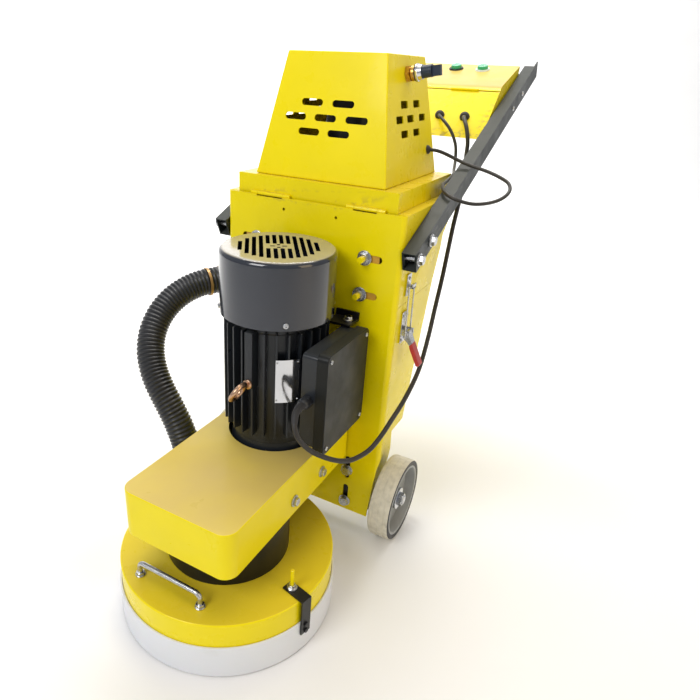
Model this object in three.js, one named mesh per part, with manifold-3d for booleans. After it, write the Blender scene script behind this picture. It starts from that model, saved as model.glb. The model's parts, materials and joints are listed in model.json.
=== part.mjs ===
// A walk-behind concrete grinder with a built-in dust collector: one grinding plate under a round
// shroud, driven by V-belts from an upright motor, with a filter chamber and dust bin on two wheels.
// Millimetres, +Z up. The grinding head is at the front (-Y), the handle at the rear (+Y).
// Y is measured from the grinding axis while modelling; the finished group is moved so that the
// origin lies on the floor, under the middle of the machine.
import * as THREE from 'three';
import { mergeVertices } from 'three/addons/utils/BufferGeometryUtils.js';
import Module from 'manifold-3d';

const wasm = await Module();
wasm.setup();

// ---------- driving dimensions ----------
const GAP = 0.3;                 // clearance between touching pieces
const SHEET = 2.5;               // body sheet thickness

// grinding head
const SHROUD_R = 200;
const SHROUD_TOP = 117;
const SHROUD_PLATE = 5;
const RIM_BOTTOM = 55;
const SKIRT_INNER_R = 200.8;
const SKIRT_R = 204;
const SKIRT_BOTTOM = 2;
const SKIRT_TOP = 69;
const PLATE_R = 172;
const SEGMENT_HEIGHT = 12;
const DRUM_R = 115.5;
const SPINDLE_R = 17;
const BRACKET_ANGLES = [-14, 128]; // degrees around the grinding axis
const STUD_RADIUS = 171;         // distance of a bracket's stud from the grinding axis
const STUD_R = 3.5;

// belt housing
const COVER_HALF = 115;
const COVER_FRONT = -153;
const COVER_REAR = 262;
const COVER_BOTTOM = 196;
const COVER_TOP = 288.5;
const COVER_WALL = 3;
const COVER_CORNER_R = 26;
const BASE_TOP = 206;
const SEAT_TOP = 266;
const DRIVE_PULLEY_R = 48;
const DRIVEN_PULLEY_R = 64;
const BELT_LEVELS = [222, 236];  // mid heights of the banded belt's two strands
const BELT_HEIGHT = 8;

// motor, standing upright
const MOTOR_Y = 157;
const MOTOR_OPENING_R = 91;
const FLANGE_R = 84;
const FRAME_BOTTOM = 300.3;
const FRAME_TOP = 536;
const BARREL_R = 80;
const FIN_R = 98;
const FIN_COUNT = 28;
const COWL_R = 105;
const COWL_BOTTOM = 539;
const COWL_TOP = 657;
const COWL_WALL = 2.5;

// terminal box on the motor's +X side
const BOX_Y = [82, 238];
const BOX_Z = [322, 505];
const BOX_X = [98.4, 128];
const BOX_LID_X = [128.3, 150];

// body of the dust collector
const BODY_HALF = 189;
const PANEL_FRONT = 266;
const PANEL_BACK = 269;
const BODY_TOP = 716;
const BIN_SEAM = 545;
const BIN_FLOOR = 252.5;
const PANEL_BOTTOM = 56;
const CORNER_R = 10;
const SIDE_START = PANEL_FRONT + CORNER_R + GAP;
const REAR_TOP = 572;

// lid and motor hood
const LID_HALF = 168.6;
const LID_Y = [276.3, 570];
const LID_Z = [BODY_TOP + GAP, 752];
const HINGE_Y = 271.8;
const HINGE_Z = 718;
const HOOD_BASE = { half: 136.6, front: 288.5, rear: 560, z: 752.3 };
const HOOD_TOP = { half: 99, front: 336, rear: 525, z: 971.5 };
const VACUUM_Y = 420;

// wheels
const WHEEL_Y = 322;
const WHEEL_R = 90;
const WHEEL_INNER = 187.5;
const WHEEL_OUTER = 234;
const AXLE_R = 10;

// handle bars: rectangular tubes rising to the rear beside the body
const BAR_ANGLE = THREE.MathUtils.degToRad(22.55);
const BAR_START = { y: 266, z: 637.4 };
const BAR_LENGTH = 846;
const BAR_X = [190, 216];
const BAR_DEPTH = 38;
const BAR_WALL = 2.5;
const BAR_BOLTS = [14, 74];      // distances along the bar
const GRIP = { y: 1008, z: 936, r: 13 };

// control box between the bars: corners of its outline in Y and Z
const CONTROL_HALF = 187;
const PANEL_EDGE_FRONT = [818, 920];
const PANEL_EDGE_REAR = [975.4, 966.7];
const CONTROL_SHEET = 2;
const BUTTON_X = [39, 106];
const BUTTON_ALONG = 122;        // distance of the buttons behind the panel's front edge
const BUTTON_TRAVEL = 4;
const BUTTON_R = 13;
const BUTTON_HOLE_R = 13.8;
const BEZEL_TOP = 3;             // height of a button's bezel over the panel

// toggle latches between dust bin and filter chamber: side (+1 is +X) and Y of each
const LATCHES = [{ name: 'right', side: 1, y: 312 }, { name: 'left', side: -1, y: 400 }];
const LATCH_PIVOT = { x: 203, z: 488 };
const BAIL_PIVOT = { x: 201, z: 477 };
const BAIL_TOP = { x: 198.3, z: 582.5 };

// extent of the machine along Y without its loose cords
const BAR_END_Y = BAR_START.y + BAR_LENGTH * Math.cos(BAR_ANGLE) + (BAR_DEPTH / 2) * Math.sin(BAR_ANGLE);
const CENTRE_Y = (BAR_END_Y - SKIRT_R) / 2;

// ---------- solids ----------

// Turns a closed three.js geometry into a solid with its faces pointing out.
function solid(geometry) {
  const bare = geometry.clone();
  bare.deleteAttribute('normal');
  bare.deleteAttribute('uv');
  const merged = mergeVertices(bare, 1e-4);
  const points = merged.attributes.position.array;
  const index = merged.index.array;
  const triangles = [];
  let volume = 0;
  const corner = (i) => new THREE.Vector3().fromArray(points, i * 3);
  for (let i = 0; i < index.length; i += 3) {
    const [a, b, c] = [index[i], index[i + 1], index[i + 2]];
    if (a === b || b === c || c === a) continue;
    triangles.push([a, b, c]);
    volume += corner(a).dot(corner(b).cross(corner(c)));
  }
  const ordered = volume < 0 ? triangles.map(([a, b, c]) => [a, c, b]) : triangles;
  return new wasm.Manifold(new wasm.Mesh({
    numProp: 3,
    vertProperties: Float32Array.from(points),
    triVerts: Uint32Array.from(ordered.flat()),
  }));
}

function join(...pieces) {
  return pieces.flat().reduce((sum, piece) => sum.add(piece));
}

function cut(body, ...tools) {
  return tools.flat().reduce((left, tool) => left.subtract(tool), body);
}

// A block between two X, two Y and two Z values.
function block([x0, x1], [y0, y1], [z0, z1]) {
  const geometry = new THREE.BoxGeometry(Math.abs(x1 - x0), Math.abs(y1 - y0), Math.abs(z1 - z0));
  geometry.translate((x0 + x1) / 2, (y0 + y1) / 2, (z0 + z1) / 2);
  return solid(geometry);
}

// A round rod between two points.
function rod(start, end, radius, sides = 16, endRadius = radius) {
  const from = new THREE.Vector3(...start);
  const along = new THREE.Vector3(...end).sub(from);
  const geometry = new THREE.CylinderGeometry(endRadius, radius, along.length(), sides);
  geometry.translate(0, along.length() / 2, 0);
  const turn = new THREE.Quaternion().setFromUnitVectors(new THREE.Vector3(0, 1, 0), along.normalize());
  geometry.applyQuaternion(turn);
  geometry.translate(from.x, from.y, from.z);
  return solid(geometry);
}

// A turned piece around a vertical axis at (x, y), from a closed outline of [radius, z] points.
function turned(outline, x, y, sides = 32) {
  const points = [...outline, outline[0]].map(([r, z]) => new THREE.Vector2(r, z));
  const geometry = new THREE.LatheGeometry(points, sides);
  geometry.rotateX(Math.PI / 2);
  geometry.translate(x, y, 0);
  return solid(geometry);
}

// A turned piece around the X direction through (y, z), from a closed outline of [radius, x] points.
function turnedX(outline, y, z, sides = 32) {
  const points = [...outline, outline[0]].map(([r, x]) => new THREE.Vector2(r, x));
  const geometry = new THREE.LatheGeometry(points, sides);
  geometry.rotateZ(-Math.PI / 2);
  geometry.translate(0, y, z);
  return solid(geometry);
}

function outlineShape(points) {
  if (points instanceof THREE.Shape) return points;
  return new THREE.Shape(points.map(([a, b]) => new THREE.Vector2(a, b)));
}

// Extrudes an outline whose two coordinates run along the directions u and v, along w.
function prism(points, u, v, w, start, end) {
  const geometry = new THREE.ExtrudeGeometry(outlineShape(points), {
    depth: end - start, bevelEnabled: false, curveSegments: 4,
  });
  geometry.translate(0, 0, start);
  geometry.applyMatrix4(new THREE.Matrix4().makeBasis(u, v, w));
  return solid(geometry);
}

const AXIS_X = new THREE.Vector3(1, 0, 0);
const AXIS_Y = new THREE.Vector3(0, 1, 0);
const AXIS_Z = new THREE.Vector3(0, 0, 1);
const prismX = (pointsYZ, x0, x1) => prism(pointsYZ, AXIS_Y, AXIS_Z, AXIS_X, x0, x1);
const prismY = (pointsXZ, y0, y1) => prism(pointsXZ, AXIS_X, AXIS_Z, AXIS_Y, y0, y1);
const prismZ = (pointsXY, z0, z1) => prism(pointsXY, AXIS_X, AXIS_Y, AXIS_Z, z0, z1);

// Moves each edge of an anticlockwise outline inwards by its own distance.
function inset(points, distances) {
  const count = points.length;
  const edges = points.map(([ax, ay], i) => {
    const [bx, by] = points[(i + 1) % count];
    const length = Math.hypot(bx - ax, by - ay);
    const direction = [(bx - ax) / length, (by - ay) / length];
    const shift = distances[i];
    return { origin: [ax - direction[1] * shift, ay + direction[0] * shift], direction };
  });
  return edges.map((edge, i) => {
    const last = edges[(i + count - 1) % count];
    const cross = last.direction[0] * edge.direction[1] - last.direction[1] * edge.direction[0];
    const dx = edge.origin[0] - last.origin[0];
    const dy = edge.origin[1] - last.origin[1];
    const t = (dx * edge.direction[1] - dy * edge.direction[0]) / cross;
    return [last.origin[0] + last.direction[0] * t, last.origin[1] + last.direction[1] * t];
  });
}

// A tube of a round section along a smooth curve through the points.
function tube(points, radius, sides, stepLength = 6 * radius) {
  const corners = points.map((point) => new THREE.Vector3(...point));
  const path = new THREE.CatmullRomCurve3(corners, false, 'centripetal');
  const section = new THREE.Shape();
  for (let i = 0; i < sides; i += 1) {
    const angle = (2 * Math.PI * i) / sides;
    const point = [radius * Math.cos(angle), radius * Math.sin(angle)];
    if (i === 0) section.moveTo(...point);
    else section.lineTo(...point);
  }
  section.closePath();
  const steps = Math.round(path.getLength() / stepLength);
  return solid(new THREE.ExtrudeGeometry(section, { steps, bevelEnabled: false, extrudePath: path }));
}

// A hexagon-headed bolt with its washer: the washer's back face is at `seat`, the head points along `out`.
function hexBolt(seat, out, { head, washer, shank, shankLength, headHeight = head * 0.75 }) {
  const at = (distance) => seat.map((value, i) => value + out[i] * distance);
  return join(
    rod(at(0), at(2.5), washer, 10),
    rod(at(2.4), at(2.5 + headHeight), head, 6),
    rod(at(-shankLength), at(0.1), shank, 8),
  );
}

const ARM_BOLT = { head: 10.5, washer: 13, shank: 5.6, shankLength: 9 };
const FRONT_NUT = { head: 11, washer: 14, shank: 6.2, shankLength: 6 };
const BAR_BOLT = { head: 9.5, washer: 12, shank: 5.6, shankLength: 32 };
// A bolt head on the front of the chassis panel, at (x, z).
function panelBolt(x, z, size) {
  return hexBolt([x, PANEL_FRONT - GAP, z], [0, -1, 0], size);
}

const SIDES = [-1, 1];
const span = (side, [a, b]) => (side > 0 ? [a, b] : [-b, -a]);
const polar = (radius, degrees) => [
  radius * Math.cos(THREE.MathUtils.degToRad(degrees)),
  radius * Math.sin(THREE.MathUtils.degToRad(degrees)),
];

// ---------- the scene graph ----------
const model = new THREE.Group();
model.position.y = -CENTRE_Y;

const LOOKS = {
  yellowPaint: { color: 0xf0dc10, roughness: 0.3, metalness: 0.1 },
  whitePlastic: { color: 0xe4e3e8, roughness: 0.5, metalness: 0 },
  motorPaint: { color: 0x3a424c, roughness: 0.4, metalness: 0.3 },
  cowlPaint: { color: 0x5a626e, roughness: 0.35, metalness: 0.3 },
  barPaint: { color: 0x6c6a66, roughness: 0.45, metalness: 0.4 },
  blackPaint: { color: 0x151517, roughness: 0.5, metalness: 0.1 },
  blackRubber: { color: 0x1b1c20, roughness: 0.7, metalness: 0 },
  tread: { color: 0xcdc8b9, roughness: 0.7, metalness: 0 },
  steel: { color: 0xb9bcc0, roughness: 0.3, metalness: 1 },
  castIron: { color: 0x4a4a4c, roughness: 0.7, metalness: 0.8 },
  copper: { color: 0xb06a3c, roughness: 0.35, metalness: 1 },
  brass: { color: 0xc79a48, roughness: 0.3, metalness: 1 },
  green: { color: 0x1eaa78, roughness: 0.3, metalness: 0 },
  red: { color: 0xb03a30, roughness: 0.45, metalness: 0 },
  paper: { color: 0xd8d4c4, roughness: 0.9, metalness: 0 },
};

// Adds a finished solid to the scene as a named mesh.
function piece(name, body, look) {
  const { vertProperties, triVerts } = body.getMesh();
  const geometry = new THREE.BufferGeometry();
  geometry.setAttribute('position', new THREE.BufferAttribute(new Float32Array(vertProperties), 3));
  geometry.setIndex(new THREE.BufferAttribute(new Uint32Array(triVerts), 1));
  geometry.computeVertexNormals();
  const mesh = new THREE.Mesh(geometry, new THREE.MeshStandardMaterial(LOOKS[look]));
  mesh.name = name;
  model.add(mesh);
}

// ---------- grinding head ----------
const PORT = { x: -150, y: 70, r: 27, bore: 24.5, top: 165 };
const DRUM_BOTTOM = SHROUD_TOP + GAP;
const DRUM_TOP = COVER_BOTTOM - GAP;

function buildShroud() {
  const bore = 40;
  const pan = turned([
    [bore, SHROUD_TOP - SHROUD_PLATE], [bore, SHROUD_TOP], [SHROUD_R - 2, SHROUD_TOP],
    [SHROUD_R, SHROUD_TOP - 2],
    [SHROUD_R, RIM_BOTTOM], [SHROUD_R - 3, RIM_BOTTOM], [SHROUD_R - 3, SHROUD_TOP - SHROUD_PLATE],
  ], 0, 0, 40);
  const port = rod([PORT.x, PORT.y, SHROUD_TOP - 2], [PORT.x, PORT.y, PORT.top], PORT.r, 20);
  const portBore = rod([PORT.x, PORT.y, SHROUD_TOP - 20], [PORT.x, PORT.y, PORT.top + 1], PORT.bore, 20);
  const studs = BRACKET_ANGLES.map((angle) => {
    const [x, y] = polar(STUD_RADIUS, angle);
    return rod([x, y, SHROUD_TOP - 1], [x, y, SHROUD_TOP + 44], STUD_R, 12);
  });
  piece('shroud', cut(join(pan, port, studs), portBore), 'yellowPaint');
}

function buildSkirt() {
  piece('dust_skirt', turned([
    [SKIRT_INNER_R, SKIRT_BOTTOM], [SKIRT_R, SKIRT_BOTTOM], [SKIRT_R, SKIRT_TOP],
    [SKIRT_INNER_R, SKIRT_TOP],
  ], 0, 0, 40), 'whitePlastic');
}

function turnAbout(geometry, degrees) {
  return geometry.rotateZ(THREE.MathUtils.degToRad(degrees));
}

// Straps that hang the skirt on the shroud's upright studs: a foot on the shroud, a drop past the
// rim, and two screws into the skirt.
function buildBrackets() {
  const halfWidth = 11;
  const thick = 3;
  const out = SKIRT_R + 0.6;
  const foot = SHROUD_TOP + GAP;
  const strapOutline = [
    [STUD_RADIUS - 12, foot], [out, foot], [out, SKIRT_TOP - 26], [out + thick, SKIRT_TOP - 26],
    [out + thick, foot + thick], [STUD_RADIUS - 12, foot + thick],
  ];
  BRACKET_ANGLES.forEach((angle, i) => {
    const shape = new THREE.ExtrudeGeometry(outlineShape(strapOutline),
      { depth: 2 * halfWidth, bevelEnabled: false });
    shape.rotateX(Math.PI / 2);
    shape.translate(0, halfWidth, 0);
    const strap = solid(turnAbout(shape, angle));
    const [sx, sy] = polar(STUD_RADIUS, angle);
    const hole = rod([sx, sy, foot - 5], [sx, sy, foot + thick + 5], STUD_R + 0.8, 12);
    const screws = [0, 14].map((drop) => {
      const z = SKIRT_TOP - 6 - drop;
      return rod([...polar(out + 1, angle), z], [...polar(out + thick + 3, angle), z], 4.5, 10);
    });
    piece(`skirt_bracket_${i + 1}`, cut(join(strap, screws), hole), 'blackPaint');
  });
}

function buildLiftHandle() {
  const y = -155;
  const top = SHROUD_TOP + 28;
  const posts = [-78, 55];
  const corner = 9;
  const foot = SHROUD_TOP + GAP;
  const bow = tube([
    [posts[0], y, foot], [posts[0], y, top - corner], [posts[0] + corner * 0.3, y, top - corner * 0.3],
    [posts[0] + corner, y, top], [posts[1] - corner, y, top],
    [posts[1] - corner * 0.3, y, top - corner * 0.3],
    [posts[1], y, top - corner], [posts[1], y, foot],
  ], 4.5, 8, 12);
  const washers = posts.map((x) => rod([x, y, foot], [x, y, foot + 2], 9, 12));
  piece('lift_handle', join(bow, washers), 'steel');
}

function buildSpindleHousing() {
  const wall = 9;
  const bearing = 30;
  piece('spindle_housing', turned([
    [bearing, DRUM_BOTTOM], [DRUM_R, DRUM_BOTTOM], [DRUM_R, DRUM_TOP], [bearing, DRUM_TOP],
    [bearing, DRUM_TOP - wall], [DRUM_R - wall, DRUM_TOP - wall],
    [DRUM_R - wall, DRUM_BOTTOM + wall], [bearing, DRUM_BOTTOM + wall],
  ], 0, 0, 32), 'blackPaint');
}

function ring(bore, outer, z0, z1, y) {
  return turned([[bore, z0], [outer, z0], [outer, z1], [bore, z1]], 0, y, 16);
}

const HUB_TOP = 56;
function buildSpindle() {
  const top = SEAT_TOP - 14;
  piece('spindle_shaft', rod([0, 0, HUB_TOP + GAP], [0, 0, top], SPINDLE_R, 16), 'steel');
  piece('grinding_plate', turned([
    [0, SEGMENT_HEIGHT + GAP], [PLATE_R, SEGMENT_HEIGHT + GAP], [PLATE_R, SEGMENT_HEIGHT + 10],
    [48, SEGMENT_HEIGHT + 10],
    [40, HUB_TOP], [0, HUB_TOP],
  ], 0, 0, 32), 'castIron');
  const carrier = turned([
    [120, SEGMENT_HEIGHT - 4], [PLATE_R, SEGMENT_HEIGHT - 4], [PLATE_R, SEGMENT_HEIGHT],
    [120, SEGMENT_HEIGHT],
  ], 0, 0, 32);
  const segments = [];
  const count = 12;
  for (let i = 0; i < count; i += 1) {
    const geometry = new THREE.BoxGeometry(40, 18, SEGMENT_HEIGHT - 1);
    geometry.translate(146, 0, (SEGMENT_HEIGHT - 1) / 2);
    segments.push(solid(turnAbout(geometry, (360 * i) / count)));
  }
  piece('diamond_disc', join(carrier, segments), 'castIron');
}

// ---------- belt drive ----------
// A pulley with a groove for each strand of the banded belt.
function pulley(radius, bore, x, y, sides) {
  const depth = 9;
  const half = BELT_HEIGHT / 2 + 0.6;
  const outline = [[bore, BELT_LEVELS[0] - 9], [radius, BELT_LEVELS[0] - 9]];
  BELT_LEVELS.forEach((level) => {
    outline.push([radius, level - half], [radius - depth, level - half], [radius - depth, level + half],
      [radius, level + half]);
  });
  outline.push([radius, BELT_LEVELS[1] + 9], [bore, BELT_LEVELS[1] + 9]);
  return turned(outline, x, y, sides);
}

// The outline of a belt line around the two pulleys, a distance outside their edges.
function beltOutline(offset) {
  const small = DRIVE_PULLEY_R + offset;
  const large = DRIVEN_PULLEY_R + offset;
  const lean = Math.asin((large - small) / MOTOR_Y);
  const shape = new THREE.Shape();
  shape.absarc(0, MOTOR_Y, small, -lean, Math.PI + lean, false);
  shape.absarc(0, 0, large, Math.PI + lean, 2 * Math.PI - lean, false);
  shape.closePath();
  return shape;
}

function buildBeltDrive() {
  piece('driven_pulley', pulley(DRIVEN_PULLEY_R, SPINDLE_R + GAP, 0, 0, 20), 'castIron');
  piece('drive_pulley', pulley(DRIVE_PULLEY_R, SHAFT_R + GAP, 0, MOTOR_Y, 18), 'castIron');
  const loop = (inner, outer, z0, z1) => {
    const shape = beltOutline(outer);
    shape.holes.push(new THREE.Path(beltOutline(inner).getPoints(8).reverse()));
    return prismZ(shape, z0, z1);
  };
  const strands = BELT_LEVELS.map((level) => loop(-7.5, 4.6, level - BELT_HEIGHT / 2,
    level + BELT_HEIGHT / 2));
  const tie = loop(2.2, 4.6, BELT_LEVELS[0] - BELT_HEIGHT / 2, BELT_LEVELS[1] + BELT_HEIGHT / 2);
  piece('v_belt', join(strands, tie), 'blackRubber');
}

function roundedFront(half, front, rear, radius) {
  const shape = new THREE.Shape();
  shape.moveTo(-half, rear);
  shape.lineTo(-half, front + radius);
  shape.absarc(-half + radius, front + radius, radius, Math.PI, 1.5 * Math.PI, false);
  shape.absarc(half - radius, front + radius, radius, 1.5 * Math.PI, 2 * Math.PI, false);
  shape.lineTo(half, rear);
  shape.closePath();
  return shape;
}

const COVER_BOLTS_Y = [45, 149];
const COVER_BOLT_Z = 227;
function buildBeltHousing() {
  const outer = prismZ(roundedFront(COVER_HALF, COVER_FRONT, COVER_REAR, COVER_CORNER_R), COVER_BOTTOM,
    COVER_TOP);
  const inside = roundedFront(COVER_HALF - COVER_WALL, COVER_FRONT + COVER_WALL, COVER_REAR + 1,
    COVER_CORNER_R - COVER_WALL);
  const hollow = prismZ(inside, COVER_BOTTOM - 1, COVER_TOP - COVER_WALL);
  const opening = rod([0, MOTOR_Y, COVER_TOP - 10], [0, MOTOR_Y, COVER_TOP + 10], MOTOR_OPENING_R, 28);
  const boltHoles = COVER_BOLTS_Y.map((y) => rod([-130, y, COVER_BOLT_Z], [130, y, COVER_BOLT_Z], 4.6, 8));
  piece('belt_cover', cut(outer, hollow, opening, boltHoles), 'yellowPaint');
}

// Steel plate under the belts with the raised motor seat, and a tongue that runs through the chassis.
const CLAMP_PLATE_Y = [PANEL_BACK + 0.5, PANEL_BACK + 8.5];
const TONGUE = { half: 50, z: [206, 246] };
const ARM_BOLTS = [{ x: 119, z: 160 }, { x: 119, z: 79 }];
function buildBeltBase() {
  const half = COVER_HALF - COVER_WALL - GAP;
  const floor = prismZ(roundedFront(half, COVER_FRONT + COVER_WALL + GAP, COVER_REAR - 1,
    COVER_CORNER_R - COVER_WALL),
    COVER_BOTTOM + 2, BASE_TOP);
  const seatFront = MOTOR_Y - 90;
  const seatTop = block([-105, 105], [seatFront, COVER_REAR - 1], [SEAT_TOP - 8, SEAT_TOP]);
  const walls = SIDES.map((side) => block(span(side, [98, 105]), [seatFront, COVER_REAR - 1],
    [BASE_TOP - 1, SEAT_TOP - 1]));
  const sideBars = SIDES.map((side) => block(span(side, [104, half]), [20, 175],
    [COVER_BOLT_Z - 10, COVER_BOLT_Z + 10]));
  const feet = SIDES.map((side) => block(span(side, [104, half]), [20, 175],
    [BASE_TOP - 1, COVER_BOLT_Z - 9]));
  const tongue = block([-TONGUE.half, TONGUE.half], [COVER_REAR - 10, CLAMP_PLATE_Y[1]], TONGUE.z);
  const tongueFoot = block([-TONGUE.half, TONGUE.half], [COVER_REAR - 20, COVER_REAR - 1],
    [BASE_TOP - 1, TONGUE.z[1]]);
  const shaftHole = rod([0, 0, COVER_BOTTOM - 5], [0, 0, BASE_TOP + 5], 28, 24);
  const motorHole = rod([0, MOTOR_Y, SEAT_TOP - 12], [0, MOTOR_Y, SEAT_TOP + 5], 54, 32);
  const boltHoles = COVER_BOLTS_Y.map((y) => rod([-130, y, COVER_BOLT_Z], [130, y, COVER_BOLT_Z], 4.6, 8));
  const body = join(floor, seatTop, walls, sideBars, feet, tongue, tongueFoot);
  piece('belt_base', cut(body, shaftHole, motorHole, boltHoles), 'blackPaint');
}

// The plate behind the chassis panel that the arm's four bolts screw into, notched for the tongue.
function buildClampPlate() {
  const plate = cut(
    block([-138, 138], CLAMP_PLATE_Y, [64, TONGUE.z[1] - 4]),
    block([-TONGUE.half - GAP, TONGUE.half + GAP], [PANEL_BACK, CLAMP_PLATE_Y[1] + 1],
      [TONGUE.z[0] - GAP, TONGUE.z[1]]),
  );
  const bolts = SIDES.flatMap((side) => ARM_BOLTS.map(({ x, z }) => panelBolt(side * x, z, ARM_BOLT)));
  piece('arm_clamp_plate', join(plate, bolts), 'steel');
}

// The deflector plate in the filter chamber, held by four studs through the panel's slots.
function buildDeflector() {
  const plate = block([-146, 146], [PANEL_BACK + GAP, PANEL_BACK + 4], [550, 645]);
  const studs = SIDES.flatMap((side) => FRONT_STUDS.map(({ x, z }) => join(
    panelBolt(side * x, z, FRONT_NUT),
    rod([side * x, PANEL_FRONT - 8, z], [side * x, PANEL_FRONT - 22, z], FRONT_NUT.shank, 10),
  )));
  piece('deflector_plate', join(plate, studs), 'steel');
}

// ---------- motor ----------
const SHAFT_R = 14;
const STATOR = { inner: 48, outer: 76, z: [350, 480] };
const BARREL_BORE = STATOR.outer + 1.5;
// The ring of the lifting eye, which hangs a little askew from the front of the motor.
const EYE = { x: 5, y: 26, z: 427, ring: 17.5, wire: 4.5, tilt: 0.51 };
const EYE_BOSS_Y = MOTOR_Y - FIN_R - 2.2;   // front face of the rib that holds the eye
function buildMotorShell() {
  piece('motor_flange', turned([
    [26, SEAT_TOP + GAP], [FLANGE_R, SEAT_TOP + GAP], [FLANGE_R, SEAT_TOP + 16],
    [BARREL_R, FRAME_BOTTOM - GAP],
    [26, FRAME_BOTTOM - GAP],
  ], 0, MOTOR_Y, 32), 'motorPaint');

  const barrel = turned([[BARREL_BORE, FRAME_BOTTOM], [BARREL_R + 2, FRAME_BOTTOM],
    [BARREL_R + 2, FRAME_TOP],
    [26, FRAME_TOP], [26, FRAME_TOP - 12], [BARREL_BORE, FRAME_TOP - 12]], 0, MOTOR_Y, 28);
  const fins = [];
  for (let i = 0; i < FIN_COUNT; i += 1) {
    const geometry = new THREE.BoxGeometry(FIN_R - BARREL_R, 4, FRAME_TOP - 8 - (FRAME_BOTTOM + 20));
    geometry.translate((FIN_R + BARREL_R) / 2, 0, (FRAME_TOP - 8 + FRAME_BOTTOM + 20) / 2);
    turnAbout(geometry, (360 * (i + 0.5)) / FIN_COUNT);
    geometry.translate(0, MOTOR_Y, 0);
    fins.push(solid(geometry));
  }
  const pad = block([BARREL_R - 8, BOX_X[0] - GAP], [110, 204], [340, 490]);
  const padHollow = rod([0, MOTOR_Y, FRAME_BOTTOM - 5], [0, MOTOR_Y, FRAME_TOP - 12], BARREL_BORE, 28);
  const boss = block([EYE.x - 8, EYE.x + 8], [EYE_BOSS_Y, MOTOR_Y - BARREL_R + 3], [EYE.z - 8, FRAME_TOP - 8]);
  piece('motor_frame', join(barrel, fins, cut(pad, padHollow), boss), 'motorPaint');
}

// Fan cowl with a grille of long slots across its top; the grille is turned from the machine's axis.
const GRILLE = { pitch: 12.3, slot: 7.4, reach: 77, turn: 34, centre: 15 };
function buildCowl() {
  const edge = 9;
  const outline = [[COWL_R - COWL_WALL, COWL_BOTTOM], [COWL_R, COWL_BOTTOM]];
  for (let i = 0; i <= 2; i += 1) {
    const angle = (i * Math.PI) / 4;
    outline.push([COWL_R - edge + edge * Math.cos(angle), COWL_TOP - edge + edge * Math.sin(angle)]);
  }
  outline.push([0, COWL_TOP], [0, COWL_TOP - COWL_WALL], [COWL_R - edge, COWL_TOP - COWL_WALL],
    [COWL_R - COWL_WALL, COWL_TOP - edge]);
  const shell = turned(outline, 0, MOTOR_Y, 32);
  const slots = [];
  const half = GRILLE.slot / 2;
  for (let column = -6; column < 6; column += 1) {
    const x = (column + 0.5) * GRILLE.pitch;
    const end = Math.sqrt(GRILLE.reach ** 2 - (Math.abs(x) + half) ** 2) - 1;
    const slot = (y0, y1) => block([x - half, x + half], [y0, y1], [COWL_TOP - 6, COWL_TOP + 4]);
    const isSplit = Math.abs(x) < 2 * GRILLE.pitch;
    if (isSplit) slots.push(slot(-end, -GRILLE.centre), slot(GRILLE.centre, end));
    else slots.push(slot(-end, end));
  }
  const grille = slots.map((slot) => slot.rotate([0, 0, GRILLE.turn]).translate([0, MOTOR_Y, 0]));
  piece('fan_cowl', cut(shell, grille), 'cowlPaint');
}

function buildMotorInside() {
  piece('motor_stator', turned([
    [STATOR.inner, STATOR.z[0]], [STATOR.outer, STATOR.z[0]], [STATOR.outer, STATOR.z[1]],
    [STATOR.inner, STATOR.z[1]],
  ], 0, MOTOR_Y, 24), 'copper');
  const shaft = rod([0, MOTOR_Y, BELT_LEVELS[0] - 12], [0, MOTOR_Y, 600], SHAFT_R, 16);
  const core = rod([0, MOTOR_Y, STATOR.z[0] + 4], [0, MOTOR_Y, STATOR.z[1] - 4], STATOR.inner - 1, 24);
  piece('motor_rotor', join(shaft, core), 'steel');
  const hub = turned([[SHAFT_R + GAP, 566], [24, 566], [24, 600], [SHAFT_R + GAP, 600]], 0, MOTOR_Y, 16);
  const disc = turned([[23, 566], [84, 566], [84, 569], [23, 569]], 0, MOTOR_Y, 24);
  const blades = [0, 1, 2, 3, 4, 5].map((i) => {
    const geometry = new THREE.BoxGeometry(62, 3, 32);
    geometry.translate(52, 0, 583);
    return solid(turnAbout(geometry, 60 * i).translate(0, MOTOR_Y, 0));
  });
  piece('cooling_fan', join(hub, disc, blades), 'blackPaint');
  piece('motor_bearing_lower', ring(SHAFT_R + GAP, 25.7, SEAT_TOP + 14, SEAT_TOP + 29, MOTOR_Y), 'steel');
  piece('motor_bearing_upper', ring(SHAFT_R + GAP, 25.7, FRAME_TOP - 12, FRAME_TOP, MOTOR_Y), 'steel');
  // the spindle's two bearings, held apart by a sleeve; their bore clears the shaft's corners as it turns
  const spindleBore = SPINDLE_R + 2 * GAP;
  piece('spindle_bearings', join(
    ring(spindleBore, 29.7, DRUM_BOTTOM, DRUM_BOTTOM + 12, 0),
    ring(25, 29.7, DRUM_BOTTOM + 11, DRUM_TOP - 11, 0),
    ring(spindleBore, 29.7, DRUM_TOP - 12, DRUM_TOP, 0),
  ), 'steel');
}

const GLAND = { x: 112, z: 417, r: 12 };
function roundedBox([x0, x1], [y0, y1], [z0, z1], radius) {
  const shape = new THREE.Shape();
  shape.absarc(y1 - radius, z1 - radius, radius, 0, Math.PI / 2, false);
  shape.absarc(y0 + radius, z1 - radius, radius, Math.PI / 2, Math.PI, false);
  shape.absarc(y0 + radius, z0 + radius, radius, Math.PI, 1.5 * Math.PI, false);
  shape.absarc(y1 - radius, z0 + radius, radius, 1.5 * Math.PI, 2 * Math.PI, false);
  shape.closePath();
  return prismX(shape, x0, x1);
}

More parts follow.
